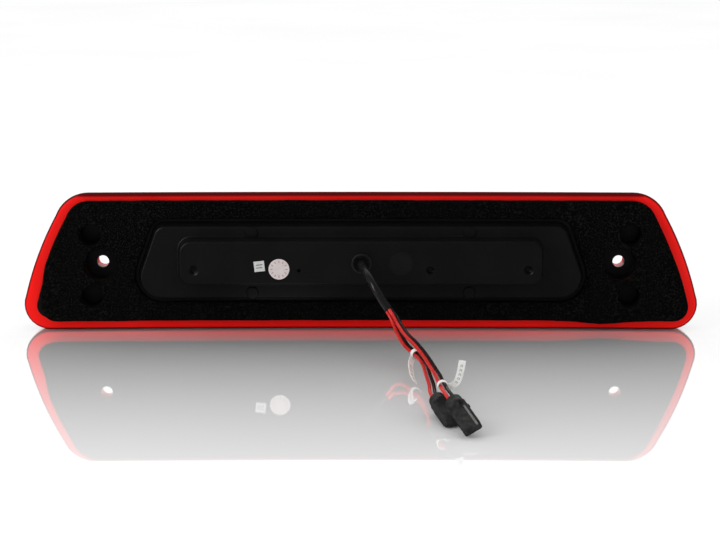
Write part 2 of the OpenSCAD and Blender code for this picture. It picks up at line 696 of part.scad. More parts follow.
module board_screws() color([0.7, 0.7, 0.72])
    for (x = post_xs) {
        bar(x, post_z, board_screw_head_r, board_front_y, board_front_y + screw_head_t);
        bar(x, post_z, board_screw_r, board_front_y - board_screw_l + screw_head_t,
            board_front_y + screw_head_t / 2);
    }

// Four short leads from the jacket's inner end to the back of the board
module board_leads() color([0.6, 0.1, 0.1])
    for (sx = [-1, 1], sz = [-1, 1])
        bar(outlet_x + sx * wire_spread, outlet_z + sz * wire_spread, wire_d / 2,
            block_inner_y + sheath_inside, board_rear_y);

module cable_grommet() color([0.04, 0.04, 0.045]) difference() {
    union() {
        bar(outlet_x, outlet_z, grommet_r, block_y - grommet_rise, block_y - face_gap);
        bar(outlet_x, outlet_z, grommet_hole_r - face_gap, block_y - weld, block_inner_y + weld);
        bar(outlet_x, outlet_z, grommet_r, block_inner_y + face_gap,
            block_inner_y + face_gap + grommet_rise);
    }
    bar(outlet_x, outlet_z, sheath_d / 2 + face_gap, -through, 0);
}

module vent_membrane() color([0.07, 0.07, 0.075])
    bar(vent_x, vent_z, vent_r, block_y - film_t, block_y);
module square_sticker() color([0.92, 0.93, 0.92])
    translate([square_sticker_at[0], block_y, square_sticker_at[1]]) rotate([0, square_sticker_turn, 0])
        translate([-square_sticker_w / 2, -film_t, -square_sticker_w / 2])
            cube([square_sticker_w, film_t, square_sticker_w]);
module round_sticker() color([0.93, 0.85, 0.85])
    bar(round_sticker_at[0], round_sticker_at[1], round_sticker_d / 2, block_y - film_t, block_y);

module cable_sheath() color([0.03, 0.03, 0.03]) tube(sheath_line, sheath_d, 12);
module stop_wire_red() color([0.75, 0.05, 0.04])
    tube(wire_line(stop_pair, left, stop_plug_at), wire_d, 8);
module stop_wire_black() color([0.03, 0.03, 0.03])
    tube(wire_line(stop_pair, right, stop_plug_at), wire_d, 8);
module cargo_wire_red() color([0.75, 0.05, 0.04])
    tube(wire_line(cargo_pair, left, cargo_plug_at), wire_d, 8);
module cargo_wire_black() color([0.03, 0.03, 0.03])
    tube(wire_line(cargo_pair, right, cargo_plug_at), wire_d, 8);

// A wire flag: a band of film round its pair, with a loose tail
module wire_flag(wrap, tail, side) {
    line = spline(tail, 2);
    outer = tube_rings(wrap, wrap_r, wrap_sides);
    inner = tube_rings(wrap, wrap_r - flag_t, wrap_sides);
    loop([outer[0], outer[1], inner[1], inner[0]]);
    loft(strip_rings(line, flag_w, flag_t, side), line[0], line[len(line) - 1]);
}
module stop_wire_flag() color([0.95, 0.95, 0.93]) wire_flag(stop_wrap, stop_tail, stop_tail_side);
module cargo_wire_flag() color([0.95, 0.95, 0.93]) wire_flag(cargo_wrap, cargo_tail, cargo_tail_side);

module at_plug(at)
    translate(at[0]) rotate([0, 0, at[2]]) rotate([90 + at[1], 0, 0]) rotate([0, 0, at[3]]) children();

module wedge_outline() {
    low = plug_base_l;
    half = wedge_w / 2;
    r = wedge_corner_r;
    polygon(concat([[-half, low], [half, low]], arc([half - r, plug_l - r], r, 0, 90, corner_n),
        arc([-half + r, plug_l - r], r, 90, 180, corner_n)));
}

// The strips on both faces, each near its own edge of the wedge. Their slots are larger by clear,
// and run past the wedge by open
module contact_strips(clear = 0, open = 0) for (turn = [0, 180]) rotate([0, 0, turn])
    translate([contact_x - contact_w / 2 - clear, wedge_t / 2 - contact_t - clear,
        plug_l - contact_l - clear])
        cube([contact_w + 2 * clear, contact_t + clear + open, contact_l + clear + open]);

module plug_body(at) color([0.05, 0.05, 0.055]) at_plug(at) difference() {
    union() {
        cylinder(r = plug_base_r, h = plug_base_l + weld);
        translate([0, 0, plug_base_l - plug_ring_l]) cylinder(r = plug_ring_r, h = plug_ring_l);
        translate([0, wedge_t / 2, 0]) rotate([90, 0, 0]) linear_extrude(wedge_t) wedge_outline();
    }
    contact_strips(face_gap, past);
}
module plug_contacts(at) color([0.8, 0.79, 0.74]) at_plug(at) contact_strips();
module stop_plug() plug_body(stop_plug_at);
module stop_plug_contacts() plug_contacts(stop_plug_at);
module cargo_plug() plug_body(cargo_plug_at);
module cargo_plug_contacts() plug_contacts(cargo_plug_at);

outer_lens();
cargo_window_left();
cargo_window_right();
lens_seal();
rear_housing();
mounting_gasket();
reflector_tray();
led_board();
stop_leds();
cargo_leds();
board_resistors();
board_diodes();
board_screws();
board_leads();
cable_grommet();
vent_membrane();
square_sticker();
round_sticker();
cable_sheath();
stop_wire_red();
stop_wire_black();
cargo_wire_red();
cargo_wire_black();
stop_wire_flag();
cargo_wire_flag();
stop_plug();
stop_plug_contacts();
cargo_plug();
cargo_plug_contacts();
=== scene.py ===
# %% [markdown]
# # A third brake light, seen from its cab side
# The lamp sits high on the back of a pickup cab. The photograph shows the side that faces the cab: a black
# moulded housing and a foam seal inside the rim of a red lens, with a short lead and two wedge plugs in front.
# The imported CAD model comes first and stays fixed. Each visible piece is then either a CAD node with a better
# finish, or a finer mesh that stands for its node. Pieces are drawn in millimetres until their mesh is made, and
# camera, lights and shader coordinates are in metres.

# %% Load the frame
import math

import bmesh
import bpy
import numpy as np
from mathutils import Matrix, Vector, noise


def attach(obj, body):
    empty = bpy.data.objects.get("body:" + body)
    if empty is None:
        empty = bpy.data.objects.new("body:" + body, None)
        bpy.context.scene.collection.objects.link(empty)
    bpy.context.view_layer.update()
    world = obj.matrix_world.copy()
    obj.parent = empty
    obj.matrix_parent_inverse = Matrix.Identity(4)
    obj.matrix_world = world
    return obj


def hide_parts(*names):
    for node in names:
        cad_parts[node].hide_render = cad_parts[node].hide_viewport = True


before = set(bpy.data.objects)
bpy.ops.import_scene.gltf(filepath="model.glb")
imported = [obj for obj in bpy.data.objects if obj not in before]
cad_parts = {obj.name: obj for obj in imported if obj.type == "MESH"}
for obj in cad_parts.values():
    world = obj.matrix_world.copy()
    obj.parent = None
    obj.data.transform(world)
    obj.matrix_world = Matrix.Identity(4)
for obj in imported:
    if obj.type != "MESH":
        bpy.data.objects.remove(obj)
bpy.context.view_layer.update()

MM = 0.001

# %% [markdown]
# ## Camera
# The photograph was taken from a little above the lamp with a long lens. The floor line, the lamp's ends and the
# mirror image in the floor give a camera about 1.14 m away that looks down by 12 degrees.

# %% Camera
FOCAL, LOOK_DOWN, CAMERA_AT = 93.25, 12, (-0.0005, -1.1369, 0.2792)
camera_data = bpy.data.cameras.new("camera")
camera_data.lens = FOCAL
camera = bpy.data.objects.new("camera", camera_data)
camera.location = CAMERA_AT
camera.rotation_euler = (math.radians(90 - LOOK_DOWN), 0, 0)
bpy.context.scene.collection.objects.link(camera)
bpy.context.scene.camera = camera
bpy.context.scene.view_settings.view_transform = "Standard"
print("camera looks down by", LOOK_DOWN, "degrees from", CAMERA_AT)

# %% [markdown]
# ## Meshes from rings
# Nearly every piece here is a skin over rings of points: a tube, a turned ring, a moulded step. One helper joins
# rings into faces and closes the ends with fans, and a second one makes the Blender object. Joining rings keeps
# the shape under control, where sculpting or modifiers alone would drift away from the CAD sizes.

# %% Rings to meshes
def turns(sides):
    """Angles at even steps round a circle."""
    return np.linspace(0, 2 * math.pi, sides, endpoint=False)


def skin(rings, first=None, last=None, loop=False):
    """Points and faces over rings, with an optional fan at each end."""
    count, size = len(rings), len(rings[0])
    points = [tuple(p) for ring in rings for p in ring]
    faces = []
    for k in range(count if loop else count - 1):
        a, b = k * size, (k + 1) % count * size
        faces += [(a + i, a + (i + 1) % size, b + (i + 1) % size, b + i) for i in range(size)]
    for start, tip in ((0, first), ((count - 1) * size, last)):
        if tip is not None:
            faces += [(start + i, start + (i + 1) % size, len(points)) for i in range(size)]
            points.append(tuple(tip))
    return points, faces


def join(*meshes):
    """Several lists of points and faces as one."""
    points, faces = [], []
    for some_points, some_faces in meshes:
        faces += [tuple(i + len(points) for i in face) for face in some_faces]
        points += list(some_points)
    return points, faces

# %% Pieces and cuts
SHARP = math.radians(32)


def soften(piece):
    """Smooth shading, with edges sharper than SHARP kept crisp."""
    piece.data.shade_smooth()
    piece.data.set_sharp_from_angle(angle=SHARP)


def new_piece(name, mesh):
    """A Blender object from points in millimetres."""
    points, faces = mesh
    data = bpy.data.meshes.new(name)
    data.from_pydata([tuple(c * MM for c in p) for p in points], [], faces)
    form = bmesh.new()
    form.from_mesh(data)
    bmesh.ops.recalc_face_normals(form, faces=form.faces)
    form.to_mesh(data)
    form.free()
    piece = bpy.data.objects.new(name, data)
    bpy.context.scene.collection.objects.link(piece)
    soften(piece)
    return piece


def keep_shape(piece):
    """Turns the result of a piece's modifiers into its mesh."""
    graph = bpy.context.evaluated_depsgraph_get()
    shaped = bpy.data.meshes.new_from_object(piece.evaluated_get(graph), depsgraph=graph)
    piece.modifiers.clear()
    old, piece.data = piece.data, shaped
    bpy.data.meshes.remove(old)


def carve(piece, tool_mesh, operation="DIFFERENCE"):
    """Cuts a piece with a closed tool, adds the tool to it, or keeps what both share."""
    tool = new_piece("tool", tool_mesh)
    cut = piece.modifiers.new("cut", "BOOLEAN")
    cut.operation, cut.solver, cut.object = operation, "MANIFOLD", tool
    keep_shape(piece)
    bpy.data.objects.remove(tool)
    soften(piece)

# %% [markdown]
# ## Finishes
# A finish is a Principled shader with noise on its colour and roughness and a bump for its grain. Image textures
# would need unwrapping, but these patterns only need the point in space, so they fit every piece. One short
# function adds a node and links or sets its inputs, which keeps each finish readable.

# %% Shader nodes
def node(material, kind, inputs=(), **settings):
    """A new shader node, with each input set to a value or linked to a socket."""
    made = material.node_tree.nodes.new("ShaderNode" + kind)
    for key, value in settings.items():
        setattr(made, key, value)
    for socket, value in dict(inputs).items():
        if isinstance(value, bpy.types.NodeSocket):
            material.node_tree.links.new(value, made.inputs[socket])
        else:
            made.inputs[socket].default_value = value
    return made


def place(material):
    """The point in space, in metres."""
    return node(material, "TexCoord").outputs["Object"]


def axes(material):
    """X, Y and Z of the point in space."""
    return node(material, "SeparateXYZ", {"Vector": place(material)}).outputs


def calc(material, operation, *values):
    """One step of arithmetic with up to three values."""
    return node(material, "Math", dict(enumerate(values)), operation=operation).outputs[0]


def fade(material, value, low, high, start=0.0, stop=1.0):
    """Maps low to high onto start to stop, and holds the ends."""
    return node(material, "MapRange", {"Value": value, "From Min": low, "From Max": high,
                                       "To Min": start, "To Max": stop}).outputs[0]

# %% Patterns
def clouds(material, size, detail=3.0):
    """Noise with blots of about the given size in millimetres."""
    return node(material, "TexNoise", {"Vector": place(material), "Scale": 1 / (size * MM),
                                       "Detail": detail}).outputs[0]


def between(material, value, low, high):
    """Maps the middle of a noise onto low to high."""
    return fade(material, value, 0.3, 0.7, low, high)


def tint(material, value, dark, light):
    """Mixes two colours by a value from 0 to 1."""
    ramp = node(material, "ValToRGB", {"Fac": value})
    for element, color in zip(ramp.color_ramp.elements, (dark, light)):
        element.color = (*color, 1)
    return ramp.outputs[0]

# %% Colour and relief
def shader_of(material):
    """The Principled shader of a finish."""
    return material.node_tree.nodes["Principled BSDF"]


def wire(material, socket, source):
    """Links a source to an input of the shader."""
    material.node_tree.links.new(source, shader_of(material).inputs[socket])


def overlay(material, mask, color):
    """Lays a colour over a finish where the mask is 1."""
    under = shader_of(material).inputs["Base Color"].links[0].from_socket
    mix = node(material, "Mix", {0: mask, 6: under, 7: (*color, 1)}, data_type="RGBA")
    wire(material, "Base Color", mix.outputs[2])


def relief(material, *layers):
    """Stacks bumps on the shader's normal. A layer is a height, a strength and a depth in millimetres."""
    normal = None
    for height, strength, depth in layers:
        inputs = {"Height": height, "Strength": strength, "Distance": depth * MM}
        if normal is not None:
            inputs["Normal"] = normal
        normal = node(material, "Bump", inputs).outputs[0]
    wire(material, "Normal", normal)


def grain(material, *layers):
    """Bumps of noise. A layer is a blot size, its detail, a strength and a depth in millimetres."""
    relief(material, *[(clouds(material, size, detail), strength, depth)
                       for size, detail, strength, depth in layers])

# %% Finish and dress
# Size of the blots of roughness, as a share of the blots of colour
ROUGH_BLOT = 0.37


def finish(name, dark, light, blot, rough, **sockets):
    """A finish whose colour and roughness drift over blots of one size."""
    material = bpy.data.materials.new(name)
    material.use_nodes = True
    for socket, value in sockets.items():
        shader_of(material).inputs[socket.replace("_", " ")].default_value = value
    wire(material, "Base Color", tint(material, between(material, clouds(material, blot), 0, 1), dark, light))
    wire(material, "Roughness", between(material, clouds(material, blot * ROUGH_BLOT), *rough))
    return material


def dress(piece, material):
    """Gives a piece its finish and lets it ride on the lamp."""
    piece.data.materials.clear()
    piece.data.materials.append(material)
    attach(piece, "root")
    print(piece.name, "has", len(piece.data.polygons), "faces in", material.name)


def dress_node(name, material):
    """Gives a CAD node its finish."""
    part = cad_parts[name]
    part.data.materials.clear()
    part.data.materials.append(material)
    print(name, "in", material.name)
    return part

# %% [markdown]
# ## The lead
# A black jacket leaves the middle of the housing, bends down towards the floor and ends, and four thin wires run
# on to the plugs, one red and one black to each. The whole lead shows, so its route is read from the photograph
# and is the same as in the CAD model. A curve object would do, but a tube of rings gives the jacket's cut end.

# %% Route of the jacket and the wires
JACKET_ROUTE = [(0.5, -17.8, 46.4), (0.5, -21, 46.4), (0.5, -26, 46.4), (1, -34, 46.4), (3, -43, 45.5),
                (5.5, -51, 42.5), (8, -55.5, 38.8), (11, -58, 34.5), (13.5, -59.5, 30.5), (16.5, -61.5, 26.5)]
STOP_ROUTE = [(20.5, -67.5, 18.2), (23, -76, 14.6), (25.5, -86.5, 12.2), (31.4, -107, 11.2),
              (34.3, -118, 10.9), (36.9, -150, 10.2), (38, -170, 10.1)]
CARGO_ROUTE = [(22, -72.5, 21.5), (25.8, -83.5, 17.6), (30.2, -96, 15.9), (35, -117.5, 14.8),
               (39.2, -148, 14.7), (41.3, -168, 15.3), (43, -190, 15.7)]
# A plug's place: middle of its wire face, then drop, heading and roll in degrees
STOP_PLUG = ((40, -189.3, 8.1), 12, 18, 3)
CARGO_PLUG = ((47.6, -208.6, 12.8), 18, 21, 31)
print("points of the routes:", len(JACKET_ROUTE), len(STOP_ROUTE), len(CARGO_ROUTE))

# %% Smooth lines
UP = np.array((0.0, 0.0, 1.0))


def unit(v):
    """The same way with a length of 1."""
    return v / np.linalg.norm(v, axis=-1, keepdims=True)


def spline(points, steps):
    """A smooth line through the points, which doesn't overshoot where they lie close together."""
    p = np.asarray(points, float)
    gap = np.linalg.norm(np.diff(p, axis=0), axis=1)[:, None]
    pace = np.diff(p, axis=0) / gap
    turn = (pace[:-1] * gap[1:] + pace[1:] * gap[:-1]) / (gap[:-1] + gap[1:])
    speed = np.vstack([pace[:1], turn, pace[-1:]])
    t = np.linspace(0, 1, steps, endpoint=False)[:, None]
    runs = [a + (b - a) * t ** 2 * (3 - 2 * t) + g * t * (1 - t) * ((1 - t) * u - t * v)
            for a, b, g, u, v in zip(p, p[1:], gap, speed, speed[1:])]
    return np.vstack(runs + [p[-1]])


def tangents(line):
    """The way of a line at each of its points."""
    ends = np.vstack([line[:1], line, line[-1:]])
    return unit(ends[2:] - ends[:-2])


def relaxed(line, step=0.8, passes=32):
    """The same line with points at even steps, eased until no kink is left. Its ends keep their place and way."""
    along = np.concatenate([[0], np.cumsum(np.linalg.norm(np.diff(line, axis=0), axis=1))])
    marks = np.linspace(0, along[-1], round(along[-1] / step) + 1)
    line = np.stack([np.interp(marks, along, line[:, k]) for k in range(3)], -1)
    for _ in range(passes):
        line[2:-2] += ((line[1:-3] + line[3:-1]) / 2 - line[2:-2]) / 2
    return line


def length_of(line):
    """Length in metres of a line in millimetres."""
    return float(np.linalg.norm(np.diff(line, axis=0), axis=1).sum()) * MM

# %% Where a plug lies
def turn_x(v, angle):
    """Points turned about X by an angle in degrees."""
    c, s = math.cos(math.radians(angle)), math.sin(math.radians(angle))
    return np.stack([v[..., 0], c * v[..., 1] - s * v[..., 2], s * v[..., 1] + c * v[..., 2]], -1)


def turn_z(v, angle):
    """Points turned about Z by an angle in degrees."""
    c, s = math.cos(math.radians(angle)), math.sin(math.radians(angle))
    return np.stack([c * v[..., 0] - s * v[..., 1], s * v[..., 0] + c * v[..., 1], v[..., 2]], -1)


def at_plug(plug, points):
    """Points of a plug's own frame, with Z from its wire face to its tip, put where the plug lies."""
    middle, drop, heading, roll = plug
    turned = turn_z(np.asarray(points, float), roll)
    return turn_z(turn_x(turned, 90 + drop), heading) + np.array(middle)


for plug in (STOP_PLUG, CARGO_PLUG):
    print("a plug points along", np.round(at_plug(plug, (0, 0, 1)) - plug[0], 2).tolist())

# %% Lines of the jacket and the wires
JACKET_D, WIRE_D = 5.0, 2.0
# From the middle of a pair to each wire, on the way and at the plug, and how late the pair spreads
WIRE_SPREAD, ENTRY_SPREAD, SPREAD_LATE = WIRE_D / 2 + 0.08, 1.5, 4
# Straight runs of a pair: after its gap out of the jacket, and into the plug
OUT_GAP, RUN_OUT, RUN_IN = 0.05, (0, 2.5, 5), (-5, -2.5, -0.15)
# Steps between two points of a route: few for the jacket's end, as in the CAD model, and more for the tubes
COARSE, FINE = 2, 10
coarse = spline(JACKET_ROUTE, COARSE)
jacket_end, jacket_way = coarse[-1], tangents(coarse)[-1]
jacket_up = np.cross(unit(np.cross(jacket_way, UP)), jacket_way)


def pair_line(level, route, plug):
    """Middle of a pair of wires: out of the jacket, along its route and straight into its plug."""
    start = jacket_end + OUT_GAP * jacket_way + level * WIRE_SPREAD * jacket_up
    entry = at_plug(plug, [(0, 0, z) for z in RUN_IN])
    return spline([start + k * jacket_way for k in RUN_OUT] + list(route) + list(entry), FINE)


def wire_line(pair, side, plug):
    """One wire of a pair, which turns and spreads for its plug near the end of its way."""
    share = np.linspace(0, 1, len(pair))[:, None] ** SPREAD_LATE
    across = at_plug(plug, (-1, 0, 0)) - np.array(plug[0])
    level = unit(np.cross(tangents(pair), UP))
    spread = WIRE_SPREAD + (ENTRY_SPREAD - WIRE_SPREAD) * share
    return pair + side * spread * unit(level + (across - level) * share)


jacket_line = spline(JACKET_ROUTE, FINE)
lead_lines = {"cable_sheath": jacket_line}
for circuit, level, route, plug in (("stop", -1, STOP_ROUTE, STOP_PLUG), ("cargo", 1, CARGO_ROUTE, CARGO_PLUG)):
    pair = pair_line(level, route, plug)
    lead_lines[circuit + "_wire_red"] = relaxed(wire_line(pair, 1, plug))
    lead_lines[circuit + "_wire_black"] = relaxed(wire_line(pair, -1, plug))
print({name: round(length_of(line), 3) for name, line in lead_lines.items()})

# %% Tubes of the lead
SIDES = {JACKET_D: 28, WIRE_D: 16}
# Size of a cut edge against the thickness, and how much of it is rounded off
CUT_EDGE, ROUNDING = 0.08, 0.3
# The first ring starts from any way that no line runs along
START_SIDE = (0.3, 0.2, 1.0)


def tube(line, radius, sides, edge):
    """A round tube along a line, with its two ends cut blunt and slightly rounded."""
    way = tangents(line)
    side = unit(np.cross(way[0], START_SIDE))
    angles, soft, last = turns(sides)[:, None], ROUNDING * edge, len(line) - 1
    rings = []
    for i, (point, t) in enumerate(zip(line, way)):
        side = unit(side - (side @ t) * t)
        around = np.cos(angles) * side + np.sin(angles) * np.cross(t, side)
        if i == 0:
            rings += [point + (radius - edge) * around, point + soft * t + (radius - soft) * around]
        elif i == last:
            rings += [point - soft * t + (radius - soft) * around, point + (radius - edge) * around]
        else:
            rings.append(point + radius * around)
    return skin(rings, line[0], line[-1])


vinyl_black = finish("vinyl black", (0.006, 0.006, 0.006), (0.010, 0.010, 0.010), 6, (0.20, 0.28))
grain(vinyl_black, (0.5, 3, 0.25, 0.05))
vinyl_red = finish("vinyl red", (0.50, 0.012, 0.010), (0.66, 0.022, 0.016), 5, (0.25, 0.38))
grain(vinyl_red, (0.5, 3, 0.2, 0.05))
for name, line in lead_lines.items():
    thick = JACKET_D if name == "cable_sheath" else WIRE_D
    piece = new_piece("lead_" + name, tube(line, thick / 2, SIDES[thick], CUT_EDGE * thick))
    red = name.endswith("red")
    dress(piece, vinyl_red if red else vinyl_black)
    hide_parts(name)

# %% [markdown]
# ## The plugs
# Each pair ends in a wedge plug: a round base, a flat wedge with a scooped neck, a rail along one edge and a
# metal strip in a slot on each face. The base is turned, the wedge is an outline between two faces, and booleans
# join them, which leaves one clean closed mesh. The strips are the CAD nodes themselves with a metal finish.

# %% Sizes of the plugs
PLUG_L, BASE_L, WEDGE_HALF, WEDGE_T, WEDGE_SUNK, TIP_R = 27.0, 7.0, 5.0, 4.2, 2, 1.4
# Rings of the wedge: share of its half thickness, and how far the ring is drawn in
WEDGE_RINGS = ((-1, 0.5), (-0.93, 0.15), (-0.8, 0), (0.8, 0), (0.93, 0.15), (1, 0.5))
BASE_PROFILE = [(3.2, 0), (4.1, 0.15), (4.5, 0.6), (4.6, 1.2), (4.6, 4.4), (4.85, 4.55), (5.0, 4.8), (5.0, 6.7),
                (4.85, 6.95), (4.6, 7.0), (4.5, 7.3), (4.1, 7.6)]
# The neck: middle and radius of its scoop and its two sides, then its foot, lower and upper edge and middle
SCOOP_Z, SCOOP_Y, SCOOP_R, NECK_X = 11.6, 6.0, 4.15, (-3.3, 1.7)
NECK_FOOT, NECK_LOW, NECK_HIGH, NECK_MIDDLE = 6.2, 1.0, 4.2, (1.6, 8)
# Corners of the slot for a metal strip, of the rail and of the key
SLOT = ((2.45, 1.55, 9.4), (3.75, 3.0, 28))
RAIL = ((4.05, 1.7, 9.0), (4.85, 2.45, 24.5))
KEY = ((4.6, -0.7, 8.6), (5.6, 0.7, 10.4))
print("a plug is", PLUG_L, "mm long and", 2 * WEDGE_HALF, "mm wide")

# %% Plug shapes
def turned_z(profile, sides=56):
    """A solid turned about Z from pairs of radius and height."""
    angles = turns(sides)
    rings = [np.stack([r * np.cos(angles), r * np.sin(angles), np.full(sides, z)], -1) for r, z in profile]
    return skin(rings, (0, 0, profile[0][1]), (0, 0, profile[-1][1]))


def box(low, high):
    """A block between two corners."""
    (x0, y0, z0), (x1, y1, z1) = low, high
    rings = [[(x0, y0, z), (x1, y0, z), (x1, y1, z), (x0, y1, z)] for z in (z0, z1)]
    return skin(rings, ((x0 + x1) / 2, (y0 + y1) / 2, z0), ((x0 + x1) / 2, (y0 + y1) / 2, z1))


def on_both_faces(corners):
    """A block, and the same block half a turn about Z."""
    points, faces = box(*corners)
    return join((points, faces), ([(-x, -y, z) for x, y, z in points], faces))


def arc(center, radius, start, stop, steps):
    """Points on an arc between two angles in degrees."""
    t = np.radians(np.linspace(start, stop, steps + 1))
    return np.array(center) + radius * np.stack([np.cos(t), np.sin(t)], -1)


def wedge():
    """The flat wedge with rounded tip corners and softened faces."""
    rings, root = [], BASE_L - WEDGE_SUNK
    for y, inset in WEDGE_RINGS:
        half, tip = WEDGE_HALF - inset, PLUG_L - inset
        flat = np.vstack([[(-half, root), (half, root)], arc((half - TIP_R, tip - TIP_R), TIP_R, 0, 90, 8),
                          arc((-half + TIP_R, tip - TIP_R), TIP_R, 90, 180, 8)])
        rings.append(np.stack([flat[:, 0], np.full(len(flat), y * WEDGE_T / 2), flat[:, 1]], -1))
    middle = (BASE_L + PLUG_L) / 2
    return skin(rings, (0, -WEDGE_T / 2, middle), (0, WEDGE_T / 2, middle))


def neck(face):
    """The scooped neck between the round base and one face of the wedge."""
    curve = arc((SCOOP_Z, SCOOP_Y), SCOOP_R, 200, 270, 10)
    side = np.vstack([[(NECK_FOOT, NECK_LOW), (NECK_FOOT, NECK_HIGH)], curve, [(SCOOP_Z, NECK_LOW)]])
    rings = [[(x, face * y, z) for z, y in side] for x in NECK_X]
    y, z = NECK_MIDDLE
    return skin(rings, *[(x, face * y, z) for x in NECK_X])


print("faces of the wedge and of a neck:", len(wedge()[1]), len(neck(1)[1]))

# %% Plug bodies
BODY_BEVEL, BODY_ANGLE, STRIP_BEVEL = 0.12, math.radians(40), 0.18
plug_plastic = finish("satin black plug", (0.013, 0.0135, 0.013), (0.036, 0.037, 0.036), 2.5, (0.36, 0.5),
                      Specular_IOR_Level=0.2)
grain(plug_plastic, (0.35, 4, 0.4, 0.06))
tinned = finish("tinned strip", (0.62, 0.60, 0.56), (0.80, 0.79, 0.75), 1.5, (0.22, 0.42), Metallic=1.0)
grain(tinned, (0.4, 2, 0.3, 0.04))
for name, plug in (("stop_plug", STOP_PLUG), ("cargo_plug", CARGO_PLUG)):
    body = new_piece("body_of_" + name, turned_z(BASE_PROFILE))
    for part in (wedge(), neck(1), neck(-1), on_both_faces(RAIL), box(*KEY)):
        carve(body, part, "UNION")
    carve(body, on_both_faces(SLOT))
    edges = body.modifiers.new("soft edges", "BEVEL")
    edges.width, edges.segments, edges.limit_method, edges.angle_limit = BODY_BEVEL * MM, 2, "ANGLE", BODY_ANGLE
    keep_shape(body)
    points = np.array([v.co for v in body.data.vertices]) / MM
    body.data.vertices.foreach_set("co", (at_plug(plug, points) * MM).ravel())
    body.data.update()
    soften(body)
    dress(body, plug_plastic)
    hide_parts(name)
    strips = dress_node(name + "_contacts", tinned)
    rounded = strips.modifiers.new("rounded", "BEVEL")
    rounded.width, rounded.segments = STRIP_BEVEL * MM, 3

# %% [markdown]
# ## The wire flags
# A strip of white film is wrapped round each pair, and its end stands off as a loose tail with plain dashes. The
# band is a ring and the tail a thin strip. An image could give the dashes, but it would need unwrapping, so some
# small faces of the tail take an ink finish instead.

# %% Band and tail
FLAG_W, FILM, STRIP_N, BAND_R, BAND_SIDES = 3.8, 0.35, 9, 2.85, 40
STOP_WRAP = [(30.9, -105.2, 11.3), (31.9, -108.8, 11.1)]
STOP_TAIL = [(29.5, -107, 9.3), (28.3, -116, 8.9), (27.9, -125, 8.6), (28, -133, 8.4), (28.6, -141, 7),
             (30, -145.5, 5.2)]
CARGO_WRAP = [(42.85, -188.1, 15.65), (43.15, -191.9, 15.7)]
CARGO_TAIL = [(45.7, -190, 15.4), (48, -190.5, 15.8), (50.4, -190.5, 18), (51.8, -190, 21.5),
              (52.7, -189.5, 25.4), (53.3, -189, 29.2)]
# Ways across the tails
STOP_ACROSS, CARGO_ACROSS = (0.6, 0.3, -0.6), (0.9, 0.1, -0.4)


def band(wrap):
    """A film ring round a pair of wires."""
    a, b = np.array(wrap, float)
    t = unit(b - a)
    u = unit(np.cross(t, UP))
    v = np.cross(u, t)
    angles = turns(BAND_SIDES)[:, None]
    around = np.cos(angles) * u + np.sin(angles) * v
    outer, inner = BAND_R * around, (BAND_R - FILM) * around
    return skin([a + outer, b + outer, b + inner, a + inner], loop=True)


def tail(points, side):
    """A film strip whose width runs along side."""
    line = spline(points, 12)
    across = np.linspace(-FLAG_W / 2, FLAG_W / 2, STRIP_N + 1)
    rings = []
    for p, t in zip(line, tangents(line)):
        u = unit(np.array(side) - (np.array(side) @ t) * t)
        v = np.cross(u, t)
        rings.append(np.vstack([[p + x * u + FILM / 2 * v for x in across],
                                [p + x * u - FILM / 2 * v for x in across[::-1]]]))
    return skin(rings, line[0], line[-1])


stop_band, stop_tail = band(STOP_WRAP), tail(STOP_TAIL, STOP_ACROSS)
cargo_band, cargo_tail = band(CARGO_WRAP), tail(CARGO_TAIL, CARGO_ACROSS)
print("faces of a band and a tail:", len(stop_band[1]), len(stop_tail[1]))

# %% Wire flags
# Dashes, counted in faces: limits along the tail, step, length and columns
DASH_FROM, DASH_TO, DASH_STEP, DASH_L, DASH_COLUMNS = 20, 54, 7, 4, (3, 5)
white_film = finish("white film", (0.72, 0.71, 0.68), (0.86, 0.86, 0.84), 3, (0.35, 0.5))
grain(white_film, (1.2, 3, 0.15, 0.1))
grey_ink = finish("grey ink", (0.22, 0.22, 0.24), (0.36, 0.36, 0.38), 1, (0.4, 0.55))
for name, wrap, end in (("stop_wire_flag", stop_band, stop_tail), ("cargo_wire_flag", cargo_band, cargo_tail)):
    flag = new_piece("film_" + name, join(wrap, end))
    dress(flag, white_film)
    flag.data.materials.append(grey_ink)
    for i, face in enumerate(list(flag.data.polygons)[len(wrap[1]):]):
        along, column = divmod(i, 2 * STRIP_N + 2)
        on_dash = DASH_FROM < along < DASH_TO and along % DASH_STEP < DASH_L
        if on_dash and column % (STRIP_N + 1) in DASH_COLUMNS:
            face.material_index = 1
    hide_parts(name)

# %% [markdown]
# ## Cords
# The lamp is rigid, but jacket and wires are flexible.

# %% [markdown]
# ## Floor and light
# The lamp stands on a white glossy sheet that mirrors it weakly. A large plane with a glossy layer mixed over its
# white does that, and the share of the layer says how strong the mirror image is. The world is a pale dome, bright
# towards the backdrop and dim behind the camera, and one soft box from the upper left gives the edges their
# highlights.

# %% Floor
SHEET_HALF, SHEET_Z, WHITE = 9000, -0.0001, (1, 1, 1, 1)
# Axis, where the mirror image starts and stops fading, and its share there
MIRROR_FADES = (("Y", 0.02, 0.33, 0.74, 0.20), ("X", 0.21, 0.40, 1.0, 0.0))
# Axis, middle and half size of the pale strip, a painted highlight along the jacket that shows only in reflections
HIGHLIGHT_STRIP = (("X", -0.05, 0.026), ("Y", -0.053, 0.015))
sheet_corners = [(x * SHEET_HALF, y * SHEET_HALF, 0) for x, y in ((-1, -1), (1, -1), (1, 1), (-1, 1))]
floor = new_piece("floor", (sheet_corners, [(0, 1, 2, 3)]))
white_sheet = finish("gloss white sheet", (0.95, 0.95, 0.95), (0.99, 0.99, 0.99), 400, (0.5, 0.6),
                     Specular_IOR_Level=0.0)
